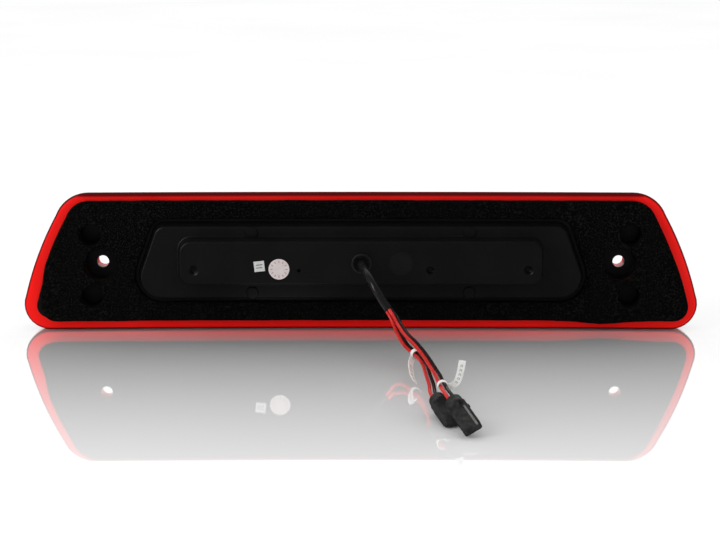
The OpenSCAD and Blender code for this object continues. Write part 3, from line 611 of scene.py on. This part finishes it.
# The mirror image is strongest at the lamp and fades on all sides. Only the camera sees it: for the light that
# falls on the lamp the sheet is plain white
spot, rays = axes(white_sheet), node(white_sheet, "LightPath").outputs
share = rays["Is Camera Ray"]
for axis, near, far, strongest, weakest in MIRROR_FADES:
    away = calc(white_sheet, "ABSOLUTE", spot[axis])
    share = calc(white_sheet, "MULTIPLY", share, fade(white_sheet, away, near, far, strongest, weakest))
mirror = node(white_sheet, "BsdfAnisotropic", {"Color": WHITE, "Roughness": 0.025}).outputs[0]
sheet = node(white_sheet, "MixShader", {0: share, 1: shader_of(white_sheet).outputs[0], 2: mirror}).outputs[0]
# Painted reflection: reflections in the lamp see a dark card on the sheet, and a pale strip at the left of the lead
# that paints a highlight along the jacket
strip = calc(white_sheet, "MULTIPLY", *[calc(white_sheet, "COMPARE", spot[axis], middle, half)
                                        for axis, middle, half in HIGHLIGHT_STRIP])
reflected_card_color = tint(white_sheet, strip, (0.12, 0.12, 0.12), (0.9, 0.9, 0.9))
reflected_card = node(white_sheet, "BsdfDiffuse", {"Color": reflected_card_color}).outputs[0]
only_glossy = calc(white_sheet, "SUBTRACT", rays["Is Glossy Ray"], rays["Is Transmission Ray"])
shown_sheet = node(white_sheet, "MixShader", {0: only_glossy, 1: sheet, 2: reflected_card}).outputs[0]
white_sheet.node_tree.links.new(shown_sheet, white_sheet.node_tree.nodes["Material Output"].inputs["Surface"])
floor.data.materials.append(white_sheet)
floor.location.z = SHEET_Z
print("floor is", 2 * SHEET_HALF * MM, "m wide")

# %% World and lamps
# Two limits of the way a ray goes, from the camera's side to the backdrop, and the strength of light at each
BACKDROP, FILL = (0.35, 0.95, 0.08, 1.0), (-0.4, 0.4, 0.78, 1.25)
world = bpy.data.worlds.new("studio")
bpy.context.scene.world = world
world.use_nodes = True
world.node_tree.nodes.clear()
rays = node(world, "LightPath").outputs
away = node(world, "SeparateXYZ", {"Vector": node(world, "TexCoord").outputs["Generated"]}).outputs["Y"]
# Mirror images see the backdrop fade, and the camera and clear plastic see plain white
backdrop = fade(world, away, *BACKDROP)
through = calc(world, "MAXIMUM", rays["Is Transmission Ray"], rays["Is Camera Ray"])
seen = calc(world, "MAXIMUM", backdrop, through)
direct = calc(world, "MAXIMUM", through, rays["Is Glossy Ray"])
dome = node(world, "Background", {"Color": WHITE, "Strength": fade(world, away, *FILL)}).outputs[0]
shown = node(world, "Background", {"Color": WHITE, "Strength": seen}).outputs[0]
chosen = node(world, "MixShader", {0: direct, 1: dome, 2: shown}).outputs[0]
node(world, "OutputWorld", {"Surface": chosen})


def soft_box(name, spot, target, size, power):
    """A tall lamp that looks at a point, with its width and height in metres."""
    data = bpy.data.lights.new(name, "AREA")
    data.shape, data.energy = "RECTANGLE", power
    data.size, data.size_y = size
    lamp = bpy.data.objects.new(name, data)
    lamp.location = spot
    lamp.rotation_euler = (Vector(target) - Vector(spot)).to_track_quat("-Z", "Y").to_euler()
    bpy.context.scene.collection.objects.link(lamp)


soft_box("key", spot=(-1.3, -0.9, 0.9), target=(0, 0, 0.04), size=(0.3, 1.4), power=8)

# %% [markdown]
# ## Outline of the lamp
# Lens, housing and foam all follow one outline: a long trapezium with leaning, slightly swollen ends and rounded
# corners, drawn in by different amounts. A function of the inset gives every ring of every moulded piece, and the
# ends of the rim curve back towards the cab with the body of the truck.

# %% Outline functions
LENS_W, LENS_H, TOP_FALL, LENS_DEPTH, LENS_WALL = 420.0, 86.6, 3.0, 24.0, 2.8
LEAN, LOW_R, TOP_R, SWELL, LEAST_R = math.radians(21.7), 16, 22, 1.8, 0.8
# How far the rim curves back at its ends, and how far the front falls off to its ends and edges
BOW, CROWN_X, CROWN_Z = 4.0, 3, 4
FOOT_HALF = LENS_W / 2 + LOW_R * (1 / math.cos(LEAN) + math.tan(LEAN) - 1)
FRONT_H = LENS_H - TOP_FALL
FRONT_MID = FRONT_H / 2
# Half width at the foot and top, foot, top, lower and upper radius, swell of the ends
LENS_SHAPE, FRONT_SHAPE = [(FOOT_HALF, FOOT_HALF - height * math.tan(LEAN), 0, height, LOW_R, TOP_R, SWELL)
                           for height in (LENS_H, FRONT_H)]
PLATEAU_SHAPE = (143, 126, 21.3, 68.5, 14, 8, 0)
BLOCK_SHAPE = (112, 112, 31.8, 60.8, 8, 8, 0)
EDGE_STEPS, CORNER_STEPS, SIDE_STEPS = 26, 10, 12


def outline(shape, inset=0.0):
    """Closed outline in X and Z, drawn in by the inset."""
    foot_half, top_half, foot, top, low_r, top_r, swell = shape
    lean = math.atan((foot_half - top_half) / (top - foot))
    way = np.array((math.cos(lean), math.sin(lean)))
    low_r, top_r = max(low_r - inset, LEAST_R), max(top_r - inset, LEAST_R)

    def center(z, r):
        return np.array((foot_half + (top_half - foot_half) * (z - foot) / (top - foot)
                         - (inset + r) / math.cos(lean), z))

    low, high = center(foot + inset + low_r, low_r), center(top - inset - top_r, top_r)
    t = np.linspace(0, 1, SIDE_STEPS + 1)[1:-1, None]
    a, b = low + low_r * way, high + top_r * way
    degrees = math.degrees(lean)
    share = np.linspace(0, 1, EDGE_STEPS, endpoint=False)[:, None]
    right = np.vstack([share * (low[0], 0) + (0, foot + inset), arc(low, low_r, -90, degrees, CORNER_STEPS),
                       a + (b - a) * t + swell * 4 * t * (1 - t) * way, arc(high, top_r, degrees, 90, CORNER_STEPS),
                       share[::-1] * (high[0], 0) + (0, top - inset)])
    return np.vstack([right, right[-2:0:-1] * (-1, 1)])


def bow(x):
    """How far the rim has curved back at x."""
    return BOW * (x / (LENS_W / 2)) ** 2


def ring(flat, y, share=1.0):
    """An outline put at a depth, curved back by its share of the bow."""
    return np.stack([flat[:, 0], y - share * bow(flat[:, 0]), flat[:, 1]], -1)


def crown(flat):
    """Depth of the lens front."""
    return LENS_DEPTH - CROWN_X * (flat[:, 0] / (LENS_W / 2)) ** 2 - CROWN_Z * (flat[:, 1] / FRONT_MID - 1) ** 2


print("outline points:", len(outline(LENS_SHAPE)))

# %% Turned solids and prisms
def turned_rings(x, z, profile, sides):
    """Rings about a line along Y from pairs of radius and depth."""
    angles = turns(sides)
    return [np.stack([x + r * np.cos(angles), np.full(sides, y), z + r * np.sin(angles)], -1) for r, y in profile]


def bar(x, z, profile, sides=56):
    """A solid turned about a line along Y."""
    return skin(turned_rings(x, z, profile, sides), (x, profile[0][1], z), (x, profile[-1][1], z))


def prism(flat, y0, y1):
    """An outline between two depths."""
    middle = flat.mean(0)
    return skin([ring(flat, y0, 0), ring(flat, y1, 0)], (middle[0], y0, middle[1]), (middle[0], y1, middle[1]))


bar_points, bar_faces = bar(0, 0, [(1, 0), (1, 1)])
print("a plain bar has", len(bar_points), "points and", len(bar_faces), "faces")

# %% [markdown]
# ## The red lens
# One clear red moulding makes the front, the rounded shoulder, the skirt and the lip that carries the housing.
# A closed shell with a real wall lets light bend and tint in it as in the real part, where a single red surface
# would look like paint. Its holes, screw bosses and windows are booleans, and the optics inside are a bump.

# %% Lens shell
SKIRT, SHOULDER, RIM_R, LIP_W, LIP_T = 12.0, 14.0, 2.4, 11.5, 4.0
TURNS = np.radians((0, 12, 24, 36, 48, 60, 72, 82, 90))
SHARES = np.linspace(0.92, 0.08, 12)


def shoulder(wall, turn):
    """A ring of the rounded shoulder, as deep in the wall as asked."""
    flat = outline(FRONT_SHAPE, wall + (SHOULDER - wall) * (1 - math.cos(turn)))
    depth = SKIRT + (crown(flat) - wall - SKIRT) * math.sin(turn)
    return np.stack([flat[:, 0], depth - bow(flat[:, 0]), flat[:, 1]], -1)


def front(wall, share):
    """A ring of the crowned front, drawn towards its middle."""
    flat = outline(FRONT_SHAPE, SHOULDER)
    flat = np.stack([flat[:, 0] * share, FRONT_MID + (flat[:, 1] - FRONT_MID) * share], -1)
    return np.stack([flat[:, 0], crown(flat) - wall - bow(flat[:, 0]), flat[:, 1]], -1)


def lens_shell():
    """The closed shell, from the middle of its inner face over the lip and rim to the middle of its front."""
    def lip(inset, y):
        return ring(outline(LENS_SHAPE, inset), y)

    inner = [front(LENS_WALL, s) for s in SHARES[::-1]] + [shoulder(LENS_WALL, t) for t in TURNS[::-1]]
    rear = [lip(LENS_WALL, LIP_T), lip(LIP_W, LIP_T), lip(LIP_W, 0)]
    rim = [lip(RIM_R * (1 - math.sin(t)), RIM_R * (1 - math.cos(t))) for t in np.radians(np.linspace(0, 90, 8))]
    outer = [shoulder(0, t) for t in TURNS] + [front(0, s) for s in SHARES]
    return skin(inner + rear + rim + outer, (0, LENS_DEPTH - LENS_WALL, FRONT_MID), (0, LENS_DEPTH, FRONT_MID))


lens = new_piece("red_lens_shell", lens_shell())
print("lens shell faces:", len(lens.data.polygons))

# %% Screw bosses and window openings
SCREW_X, SCREW_Z, SCREW_R, HEAD_R, SEAT_Y, PAST_FRONT = 161.0, 42.3, 3.75, 8.0, 14.5, 25
SKIN_Y = float(crown(np.array([[SCREW_X, SCREW_Z]]))[0]) - bow(SCREW_X) - LENS_WALL / 2
# Radius and depth along the boss of a screw, along the boss of its head and along its hole
BOSSES = ([(5.85, 6.25), (6.05, 6.45), (6.05, SKIN_Y)], [(10.0, 12.2), (10.3, 12.5), (10.3, SKIN_Y)])
SCREW_HOLE = [(SCREW_R, 0), (SCREW_R, SEAT_Y), (HEAD_R, SEAT_Y), (HEAD_R, PAST_FRONT)]
WINDOW_X, WINDOW_Z, WINDOW_HALF, WINDOW_R, WINDOW_GAP = 89.0, FRONT_MID + 2, (23.0, 21.0), 6, 0.15


def window_outline(side, grow):
    """Rounded outline of the left or right window, grown on all sides."""
    (w, h), r = WINDOW_HALF, WINDOW_R + grow
    w, h = w + grow - r, h + grow - r
    corners = [arc((sx * w, sz * h), r, start, start + 90, 8)
               for sx, sz, start in ((1, -1, -90), (1, 1, 0), (-1, 1, 90), (-1, -1, 180))]
    return np.vstack(corners) + (side * WINDOW_X, WINDOW_Z)


for side in (-1, 1):
    for boss in BOSSES:
        carve(lens, bar(side * SCREW_X, SCREW_Z, boss), "UNION")
carve(lens, join(*[bar(s * SCREW_X, SCREW_Z, SCREW_HOLE) for s in (-1, 1)],
                 *[prism(window_outline(s, WINDOW_GAP), SKIRT, PAST_FRONT) for s in (-1, 1)]))
print("lens faces:", len(lens.data.polygons))

# %% [markdown]
# ## Finish of the lens
# The front is clear red plastic and its inside carries small lens pillows. The rim and the walls of the screw
# holes look solid in the photograph, so they get a red that doesn't let light through. Painted shade turns the rim
# maroon round the outer edge and along the top.

# %% Clear red finishes
PLASTIC_IOR, PLASTIC_BLOT = 1.49, 60
RED_DARK, RED_LIGHT = (0.74, 0.006, 0.006), (0.82, 0.012, 0.010)


def clear_plastic(name, dark, light, rough):
    """A finish that lets light through."""
    return finish(name, dark, light, PLASTIC_BLOT, rough, Transmission_Weight=1.0, IOR=PLASTIC_IOR)


def pillows(material, pitch_x, pitch_z):
    """A height of small lens pillows, for the inside of the lens."""
    spot, waves = axes(material), []
    for axis, pitch in (("X", pitch_x), ("Z", pitch_z)):
        wave = calc(material, "SINE", calc(material, "MULTIPLY", spot[axis], math.pi / (pitch * MM)))
        waves.append(calc(material, "ABSOLUTE", wave))
    return calc(material, "ADD", *waves)


red_clear = clear_plastic("clear red plastic", RED_DARK, RED_LIGHT, (0.02, 0.05))
grain(red_clear, (30, 3, 0.05, 0.2))
red_optics = clear_plastic("red plastic with optics", RED_DARK, RED_LIGHT, (0.04, 0.08))
relief(red_optics, (pillows(red_optics, 5, 5), 0.8, 0.6))
print("clear finishes:", red_clear.name, "and", red_optics.name)

# %% Rim finish
RIM_DARK, RIM_LIGHT, RIM_SHADE_COLOR = (0.86, 0.007, 0.005), (0.97, 0.012, 0.009), (0.03, 0.002, 0.003)
# Where the painted shade fades, and its share: depth from the rear, turn of the faces, and height of the top band
REAR_FADE, REAR_SHARE, OUTWARD = (0.003, 0.005), 0.9, (-0.97, -0.72)
TOP_FADE, TOP_SHARE = (0.0835, 0.0849), 0.92
red_rim = finish("red plastic rim", RIM_DARK, RIM_LIGHT, PLASTIC_BLOT, (0.16, 0.26), IOR=PLASTIC_IOR,
                 Specular_IOR_Level=0.1)
facing = node(red_rim, "SeparateXYZ", {"Vector": node(red_rim, "NewGeometry").outputs["Normal"]}).outputs["Y"]
spot = axes(red_rim)
rear_shade_share = fade(red_rim, spot["Y"], *REAR_FADE, REAR_SHARE, 0.0)
edge_shade = fade(red_rim, facing, *OUTWARD, 0.0, rear_shade_share)
top_shade = fade(red_rim, spot["Z"], *TOP_FADE, 0.0, TOP_SHARE)
# Painted shade: near-black maroon laid over the rim's rounded outer edge and along its top band
overlay(red_rim, calc(red_rim, "MAXIMUM", edge_shade, top_shade), RIM_SHADE_COLOR)
grain(red_rim, (12, 3, 0.05, 0.2))
print("rim finish:", red_rim.name)

# %% Faces of the lens
# Slack round the wall of a screw hole in millimetres, and the least turn of a face that counts as inside
HOLE_SLACK, INSIDE_TURN = 0.05, -0.6
dress(lens, red_clear)
lens.data.materials.append(red_optics)
lens.data.materials.append(red_rim)
for face in lens.data.polygons:
    off_axis = math.hypot(abs(face.center.x) - SCREW_X * MM, face.center.z - SCREW_Z * MM)
    if face.center.y < RIM_R * MM or off_axis < (SCREW_R + HOLE_SLACK) * MM:
        face.material_index = 2
    elif face.normal.y < INSIDE_TURN and face.center.y > SKIRT * MM:
        face.material_index = 1
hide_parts("outer_lens")

# %% [markdown]
# ## Cargo windows
# Two clear windows in the lens light the load bed. The photograph doesn't show the front, so their place and size
# are guessed. A flat pane would leave a step, so each pane is the lens shell again, cut to the window's outline.

# %% Cargo windows
clear_window = clear_plastic("clear window plastic", (0.93, 0.94, 0.94), (0.97, 0.97, 0.97), (0.02, 0.05))
relief(clear_window, (pillows(clear_window, 3.5, 60), 0.5, 0.4))
for side, name in ((-1, "cargo_window_left"), (1, "cargo_window_right")):
    pane = new_piece("pane_" + name, lens_shell())
    carve(pane, prism(window_outline(side, 0), SKIRT, PAST_FRONT), "INTERSECT")
    dress(pane, clear_window)
    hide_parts(name)

# %% [markdown]
# ## The rear housing
# The black back is one injection moulding: a flange that meets the lens lip, a plateau, a raised block on it, and
# wells for the screws. Moulded steps have rounded edges and filleted feet, and these catch the light in the
# photograph, so the skin has a ring for each part of those curves. Wells and dimples are cut by turned tools.

# %% Housing skin
FLANGE_REAR, FLANGE_FRONT, PLATEAU_Y, BLOCK_Y, WALL, DRAFT = -3.1, -0.6, -13.0, -23.0, 2.2, 1.0
FLANGE_INSET, FLANGE_SOFT, BLOCK_EDGE, FOOT_R = 8.5, 0.4, 1.4, 1.3
QUARTER = np.radians(np.linspace(0, 90, 7))
BOARD_Z = 46.3


def step_edge(shape, y, radius):
    """The rounded edge at the top of a moulded step."""
    return [ring(outline(shape, DRAFT + radius * (1 - math.sin(t))), y + radius * (1 - math.cos(t)), 0)
            for t in QUARTER]


def step_foot(shape, y, radius, share):
    """The fillet at the foot of a moulded step."""
    return [ring(outline(shape, -radius * (1 - math.cos(t))), y - radius * (1 - math.sin(t)), share)
            for t in QUARTER]


def housing_skin():
    """The closed skin, from the middle of the block's rear over the flange to the middle of its inside."""
    foot, mouth = outline(PLATEAU_SHAPE, -FOOT_R), outline(PLATEAU_SHAPE, WALL)
    edge, soft_edge = outline(LENS_SHAPE, FLANGE_INSET), outline(LENS_SHAPE, FLANGE_INSET + FLANGE_SOFT)
    shares = np.linspace(0, 1, 6)
    rear = (step_edge(BLOCK_SHAPE, BLOCK_Y, BLOCK_EDGE) + step_foot(BLOCK_SHAPE, PLATEAU_Y, FOOT_R, 0)
            + step_edge(PLATEAU_SHAPE, PLATEAU_Y, BLOCK_EDGE) + step_foot(PLATEAU_SHAPE, FLANGE_REAR, FOOT_R, 1)
            + [ring(foot + (soft_edge - foot) * s, FLANGE_REAR) for s in shares[1:]]
            + [ring(edge, FLANGE_REAR + FLANGE_SOFT)])
    inside = ([ring(edge + (mouth - edge) * s, FLANGE_FRONT) for s in shares]
              + [ring(outline(PLATEAU_SHAPE, WALL + DRAFT), PLATEAU_Y + WALL, 0),
                 ring(outline(BLOCK_SHAPE, WALL), PLATEAU_Y + WALL, 0),
                 ring(outline(BLOCK_SHAPE, WALL + DRAFT), BLOCK_Y + WALL, 0)])
    return skin(rear + inside, (0, BLOCK_Y, BOARD_Z), (0, BLOCK_Y + WALL, BOARD_Z))


housing = new_piece("housing_shell", housing_skin())
print("housing skin faces:", len(housing.data.polygons))

# %% Wells, pegs and dimples
WELLS = [(s * SCREW_X, SCREW_Z, 10.0) for s in (-1, 1)]
WELLS += [(s * 167.0, z, 6.6) for s in (-1, 1) for z in (22.0, 61.0)]
WELL_FLOOR, WELL_SUNK, SCREW_PAST = 4.0, 0.6, 12
PEGS = [(s * 67.0, z) for s in (-1, 1) for z in (26.1, 63.7)]
# Radius of a peg and depth from the plateau
PEG_PROFILE = [(2.9, -0.9), (3.4, -0.8), (3.7, -0.45), (3.8, 0), (3.8, 0.6)]
# Place and dish radius of the moulded dimples
DIMPLES = [(-102.5, 3.6), (-37.7, 1.5), (42.5, 2.6), (102.5, 3.2)]
DIMPLE_Z, POST_R, POST_FROM, POST_TO = 42.0, 3.6, BLOCK_Y + 1.6, -8.8
OUTLET_X, OUTLET_Z, OUTLET_R = 0.5, 46.4, 4.6


def well(x, z, r):
    """The tool for a well with a rounded mouth and a softened floor."""
    mouth = FLANGE_REAR - bow(x)
    return bar(x, z, [(r + 0.9, mouth - 1), (r + 0.9, mouth), (r + 0.25, mouth + 0.3), (r, mouth + 0.9),
                      (r - 0.1, WELL_FLOOR - 0.5), (r - 0.6, WELL_FLOOR)])


def dimple(x, dish):
    """The tool for a dish with a blind hole in its middle."""
    hole = min(dish - 0.3, 2.0)
    return bar(x, DIMPLE_Z, [(dish, BLOCK_Y - 1), (dish, BLOCK_Y), (dish - 0.25, BLOCK_Y + 0.15),
                             (hole + 0.25, BLOCK_Y + 0.7), (hole, BLOCK_Y + 1.1), (hole, BLOCK_Y + 2.2),
                             (hole - 0.5, BLOCK_Y + 2.6)])


carve(housing, join(*[bar(x, z, [(r + WALL, FLANGE_FRONT - bow(x) - WELL_SUNK), (r + WALL, WELL_FLOOR + WALL)])
                      for x, z, r in WELLS]), "UNION")
carve(housing, join(*[bar(x, z, [(r, PLATEAU_Y + y) for r, y in PEG_PROFILE]) for x, z in PEGS]), "UNION")
carve(housing, join(*[bar(x, DIMPLE_Z, [(POST_R, POST_FROM), (POST_R, POST_TO)]) for x, _ in DIMPLES]), "UNION")
carve(housing, join(*[well(*spot) for spot in WELLS]))
carve(housing, join(*[bar(s * SCREW_X, SCREW_Z, [(SCREW_R, 0), (SCREW_R, SCREW_PAST)]) for s in (-1, 1)]))
carve(housing, join(*[dimple(x, dish) for x, dish in DIMPLES]))
carve(housing, bar(OUTLET_X, OUTLET_Z, [(OUTLET_R, BLOCK_Y - 1), (OUTLET_R, BLOCK_Y + WALL + 1)]))
print("housing faces:", len(housing.data.polygons))

# %% Housing finish
even_light = housing.modifiers.new("flat faces stay flat", "WEIGHTED_NORMAL")
even_light.keep_sharp, even_light.weight = True, 100
keep_shape(housing)
satin_black = finish("moulded black plastic", (0.0021, 0.0021, 0.0021), (0.0038, 0.0038, 0.0035), 22, (0.34, 0.46),
                     Specular_IOR_Level=0.35)
grain(satin_black, (14, 3, 0.12, 0.3), (0.35, 4, 0.22, 0.05))
dress(housing, satin_black)
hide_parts("rear_housing")

# %% [markdown]
# ## The foam seal
# A die-cut ring of foam lies round the plateau and seals the lamp to the cab. Foam is soft, so its cut edges are
# rounded and never quite true. A voxel remesh of the flat cut gives an even mesh with soft edges, and a noise that
# is the same at every run then moves its points: a long wave for the hand-laid edge, a short one for the cut cells.

# %% Foam shape
GASKET_T, GASKET_INSET, GASKET_GAP, GASKET_LOW, GASKET_TOP = 3.0, 7.0, 2.5, 6.8, LENS_H - 4.4
FOAM_LOW_R, FOAM_TOP_R, FOAM_OVER, FOAM_CLEAR, CUT_REACH = 9, 15, 0.3, 0.05, 40
# Laid by hand: the lower edge sags over the red rim towards the right, and the lower left end is drawn in
SAG_X, SAG_W, SAG, LOW_SIDE = 149.0, 16.0, 1.8, 20
DRAWN_IN, LEFT_END, DRAWN_BELOW, DRAWN_OVER = 5.0, -150, 42, 26
VOXEL, EVEN_SHARE, EVEN_PASSES = 0.8, 0.5, 4


def rim_half(z):
    """Half width of the foam at a height, inside the leaning ends of the rim."""
    return FOOT_HALF - z * math.tan(LEAN) - GASKET_INSET / math.cos(LEAN)


foam_edge = outline((rim_half(GASKET_LOW), rim_half(GASKET_TOP), GASKET_LOW, GASKET_TOP, FOAM_LOW_R, FOAM_TOP_R,
                     SWELL), -FOAM_OVER)
low_side = foam_edge[:, 1] < LOW_SIDE
foam_edge[low_side, 1] -= SAG * np.exp(-((foam_edge[low_side, 0] - SAG_X) / SAG_W) ** 2)
left_end = foam_edge[:, 0] < LEFT_END
foam_edge[left_end, 0] += DRAWN_IN * np.clip((DRAWN_BELOW - foam_edge[left_end, 1]) / DRAWN_OVER, 0, 1)
foam = new_piece("foam_ring", prism(foam_edge, FLANGE_REAR - GASKET_T, FLANGE_REAR - FOAM_CLEAR))
carve(foam, prism(outline(PLATEAU_SHAPE, -GASKET_GAP), -CUT_REACH, CUT_REACH))
carve(foam, join(*[bar(x, z, [(r, -CUT_REACH), (r, CUT_REACH)]) for x, z, r in WELLS]))
grid = foam.modifiers.new("even mesh", "REMESH")
grid.mode, grid.voxel_size = "VOXEL", VOXEL * MM
even = foam.modifiers.new("soft edges", "SMOOTH")
even.factor, even.iterations = EVEN_SHARE, EVEN_PASSES
keep_shape(foam)
print("foam points:", len(foam.data.vertices))

# %% Foam surface
# Length and height of the two waves, and the share of them that the flat faces get
LONG_WAVE, LONG_PUSH, SHORT_WAVE, SHORT_PUSH = 17.0, 0.22, 1.6, 0.10
FLAT_TURN, FLAT_SHARE = 0.6, 0.35
FOAM_DARK, FOAM_LIGHT = (0.0005, 0.0005, 0.0005), (0.009, 0.009, 0.008)
count = len(foam.data.vertices)
spots, ways = np.zeros(3 * count, np.float32), np.zeros(3 * count, np.float32)
foam.data.vertices.foreach_get("co", spots)
foam.data.vertices.foreach_get("normal", ways)
spots, ways = spots.reshape(-1, 3) / MM, ways.reshape(-1, 3)
push = np.array([LONG_PUSH * noise.noise(p / LONG_WAVE) + SHORT_PUSH * noise.noise(p / SHORT_WAVE)
                 for p in map(Vector, spots.tolist())])
push *= np.where(np.abs(ways[:, 1]) < FLAT_TURN, 1.0, FLAT_SHARE)
spots += ways * push[:, None]
spots[:, 1] -= bow(spots[:, 0])
foam.data.vertices.foreach_set("co", (spots * MM).astype(np.float32).ravel())
foam.data.update()
foam.data.shade_smooth()
cell_foam = finish("black foam", FOAM_DARK, FOAM_LIGHT, 5, (0.85, 1.0), Specular_IOR_Level=0.12)
# Specks mix the two colours, in place of the slow drift
specks = fade(cell_foam, clouds(cell_foam, 0.9, 5), 0.5, 0.72)
mixed = shader_of(cell_foam).inputs["Base Color"].links[0].from_node
cell_foam.node_tree.links.new(specks, mixed.inputs["Fac"])
grain(cell_foam, (1.1, 4, 0.7, 0.3), (0.35, 2, 0.5, 0.12))
dress(foam, cell_foam)
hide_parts("mounting_gasket")

# %% [markdown]
# ## Grommet, vent and stickers
# A rubber ring closes the hole where the lead comes out, and the lead stands in its funnel. The vent is a thin
# disc of membrane. Of the two stickers, the square one has two plain bars, and the round one has a ring of ticks as
# on a dial. The discs are CAD nodes already, so they only need finishes, and the square one is cut anew because it
# was stuck on a little askew.

# %% Grommet
GROMMET = [(2.6, -19.9), (6.1, -19.9), (6.3, -20.1), (6.3, -20.7), (4.55, -20.75), (4.55, -22.9), (6.3, -23.05),
           (6.3, -23.5), (6.15, -23.8), (5.8, -24.0), (5.3, -24.0), (5.0, -23.85), (4.4, -22.9), (3.3, -21.9),
           (2.6, -21.6)]
grommet = new_piece("rubber_ring", skin(turned_rings(OUTLET_X, OUTLET_Z, GROMMET, 64), loop=True))
rubber = finish("black rubber", (0.005, 0.005, 0.005), (0.010, 0.010, 0.010), 3, (0.35, 0.55))
grain(rubber, (0.4, 3, 0.3, 0.06))
dress(grommet, rubber)
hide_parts("cable_grommet")

# %% Vent and round sticker
DIAL_X, DIAL_Z, TICK_N, TICK_SHARE, TICK_R, TICK_HALF = -50, 42.9, 12, 0.12, 4.6, 0.7
PAPER_BLOT, PAPER_ROUGH = 1.5, (0.4, 0.55)


def from_middle(material, x, z):
    """Distance across and up from a sticker's middle, in metres."""
    spot = node(material, "VectorMath", {0: place(material), 1: (x * MM, 0, z * MM)}, operation="SUBTRACT")
    across, _, up = node(material, "SeparateXYZ", {"Vector": spot.outputs[0]}).outputs
    return across, up


membrane = finish("vent membrane", (0.0032, 0.0032, 0.0032), (0.0052, 0.0052, 0.0052), 2, (0.4, 0.52),
                  Specular_IOR_Level=0.4)
grain(membrane, (0.25, 2, 0.5, 0.05))
dress_node("vent_membrane", membrane)
dial_paper = finish("dial sticker", (0.56, 0.49, 0.485), (0.64, 0.57, 0.565), PAPER_BLOT, PAPER_ROUGH)
across, up = from_middle(dial_paper, DIAL_X, DIAL_Z)
squares = [calc(dial_paper, "MULTIPLY", way, way) for way in (across, up)]
radius = calc(dial_paper, "SQRT", calc(dial_paper, "ADD", *squares))
in_ring = calc(dial_paper, "COMPARE", radius, TICK_R * MM, TICK_HALF * MM)
sweep = calc(dial_paper, "MULTIPLY", calc(dial_paper, "ARCTAN2", up, across), TICK_N / (2 * math.pi))
tick = calc(dial_paper, "LESS_THAN", calc(dial_paper, "PINGPONG", sweep, 0.5), TICK_SHARE)
overlay(dial_paper, calc(dial_paper, "MULTIPLY", tick, in_ring), (0.36, 0.24, 0.25))
dress_node("round_sticker", dial_paper)

# %% Square sticker
SQUARE_X, SQUARE_Z, SQUARE_W, SQUARE_TURN, PAPER_T = -62.0, 44.7, 6.4, math.radians(6), 0.25
# Distance of the two bars from the middle, half their thickness and half their length
BAR_OFF, BAR_HALF, BAR_REACH = 0.9, 0.28, 1.9
bar_paper = finish("square sticker", (0.50, 0.505, 0.495), (0.57, 0.575, 0.565), PAPER_BLOT, PAPER_ROUGH)
across, up = from_middle(bar_paper, SQUARE_X, SQUARE_Z)
up = calc(bar_paper, "SUBTRACT", up, calc(bar_paper, "MULTIPLY", across, math.tan(SQUARE_TURN)))
on_bar = calc(bar_paper, "COMPARE", calc(bar_paper, "ABSOLUTE", up), BAR_OFF * MM, BAR_HALF * MM)
in_reach = calc(bar_paper, "LESS_THAN", calc(bar_paper, "ABSOLUTE", across), BAR_REACH * MM)
overlay(bar_paper, calc(bar_paper, "MULTIPLY", on_bar, in_reach), (0.10, 0.10, 0.11))
c, s = math.cos(SQUARE_TURN), math.sin(SQUARE_TURN)
corners = np.array([(-1, -1), (1, -1), (1, 1), (-1, 1)]) * SQUARE_W / 2 @ np.array([(c, s), (-s, c)])
paper_square = new_piece("paper_square", prism(corners + (SQUARE_X, SQUARE_Z), BLOCK_Y - PAPER_T, BLOCK_Y))
dress(paper_square, bar_paper)
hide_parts("square_sticker")

# %% [markdown]
# ## Inside the lamp
# Board, reflector tray and lamp chips show through the lens from the front. They are rigid and simple, so the CAD
# nodes stay, and each gets the finish of its real material: bright vacuum-coated plastic, green solder mask,
# yellow phosphor, dark chip bodies, zinc steel, vinyl and rubber.

# %% Finishes of the inner pieces
bright = finish("bright reflector", (0.80, 0.80, 0.81), (0.90, 0.90, 0.91), 12, (0.10, 0.22), Metallic=1.0)
grain(bright, (6, 3, 0.1, 0.2))
mask_green = finish("solder mask", (0.012, 0.075, 0.030), (0.02, 0.11, 0.045), 8, (0.28, 0.42))
grain(mask_green, (1.2, 3, 0.2, 0.05))
phosphor = finish("lamp chip", (0.80, 0.70, 0.35), (0.86, 0.80, 0.55), 1.5, (0.25, 0.4))
ceramic = finish("chip body", (0.012, 0.012, 0.013), (0.024, 0.024, 0.025), 1, (0.4, 0.55))
steel = finish("zinc steel", (0.50, 0.50, 0.50), (0.64, 0.64, 0.62), 1.5, (0.25, 0.4), Metallic=1.0)
for name, material in (("reflector_tray", bright), ("led_board", mask_green), ("stop_leds", phosphor),
                       ("cargo_leds", phosphor), ("board_resistors", ceramic), ("board_diodes", ceramic),
                       ("board_screws", steel), ("board_leads", vinyl_red), ("lens_seal", rubber)):
    dress_node(name, material)
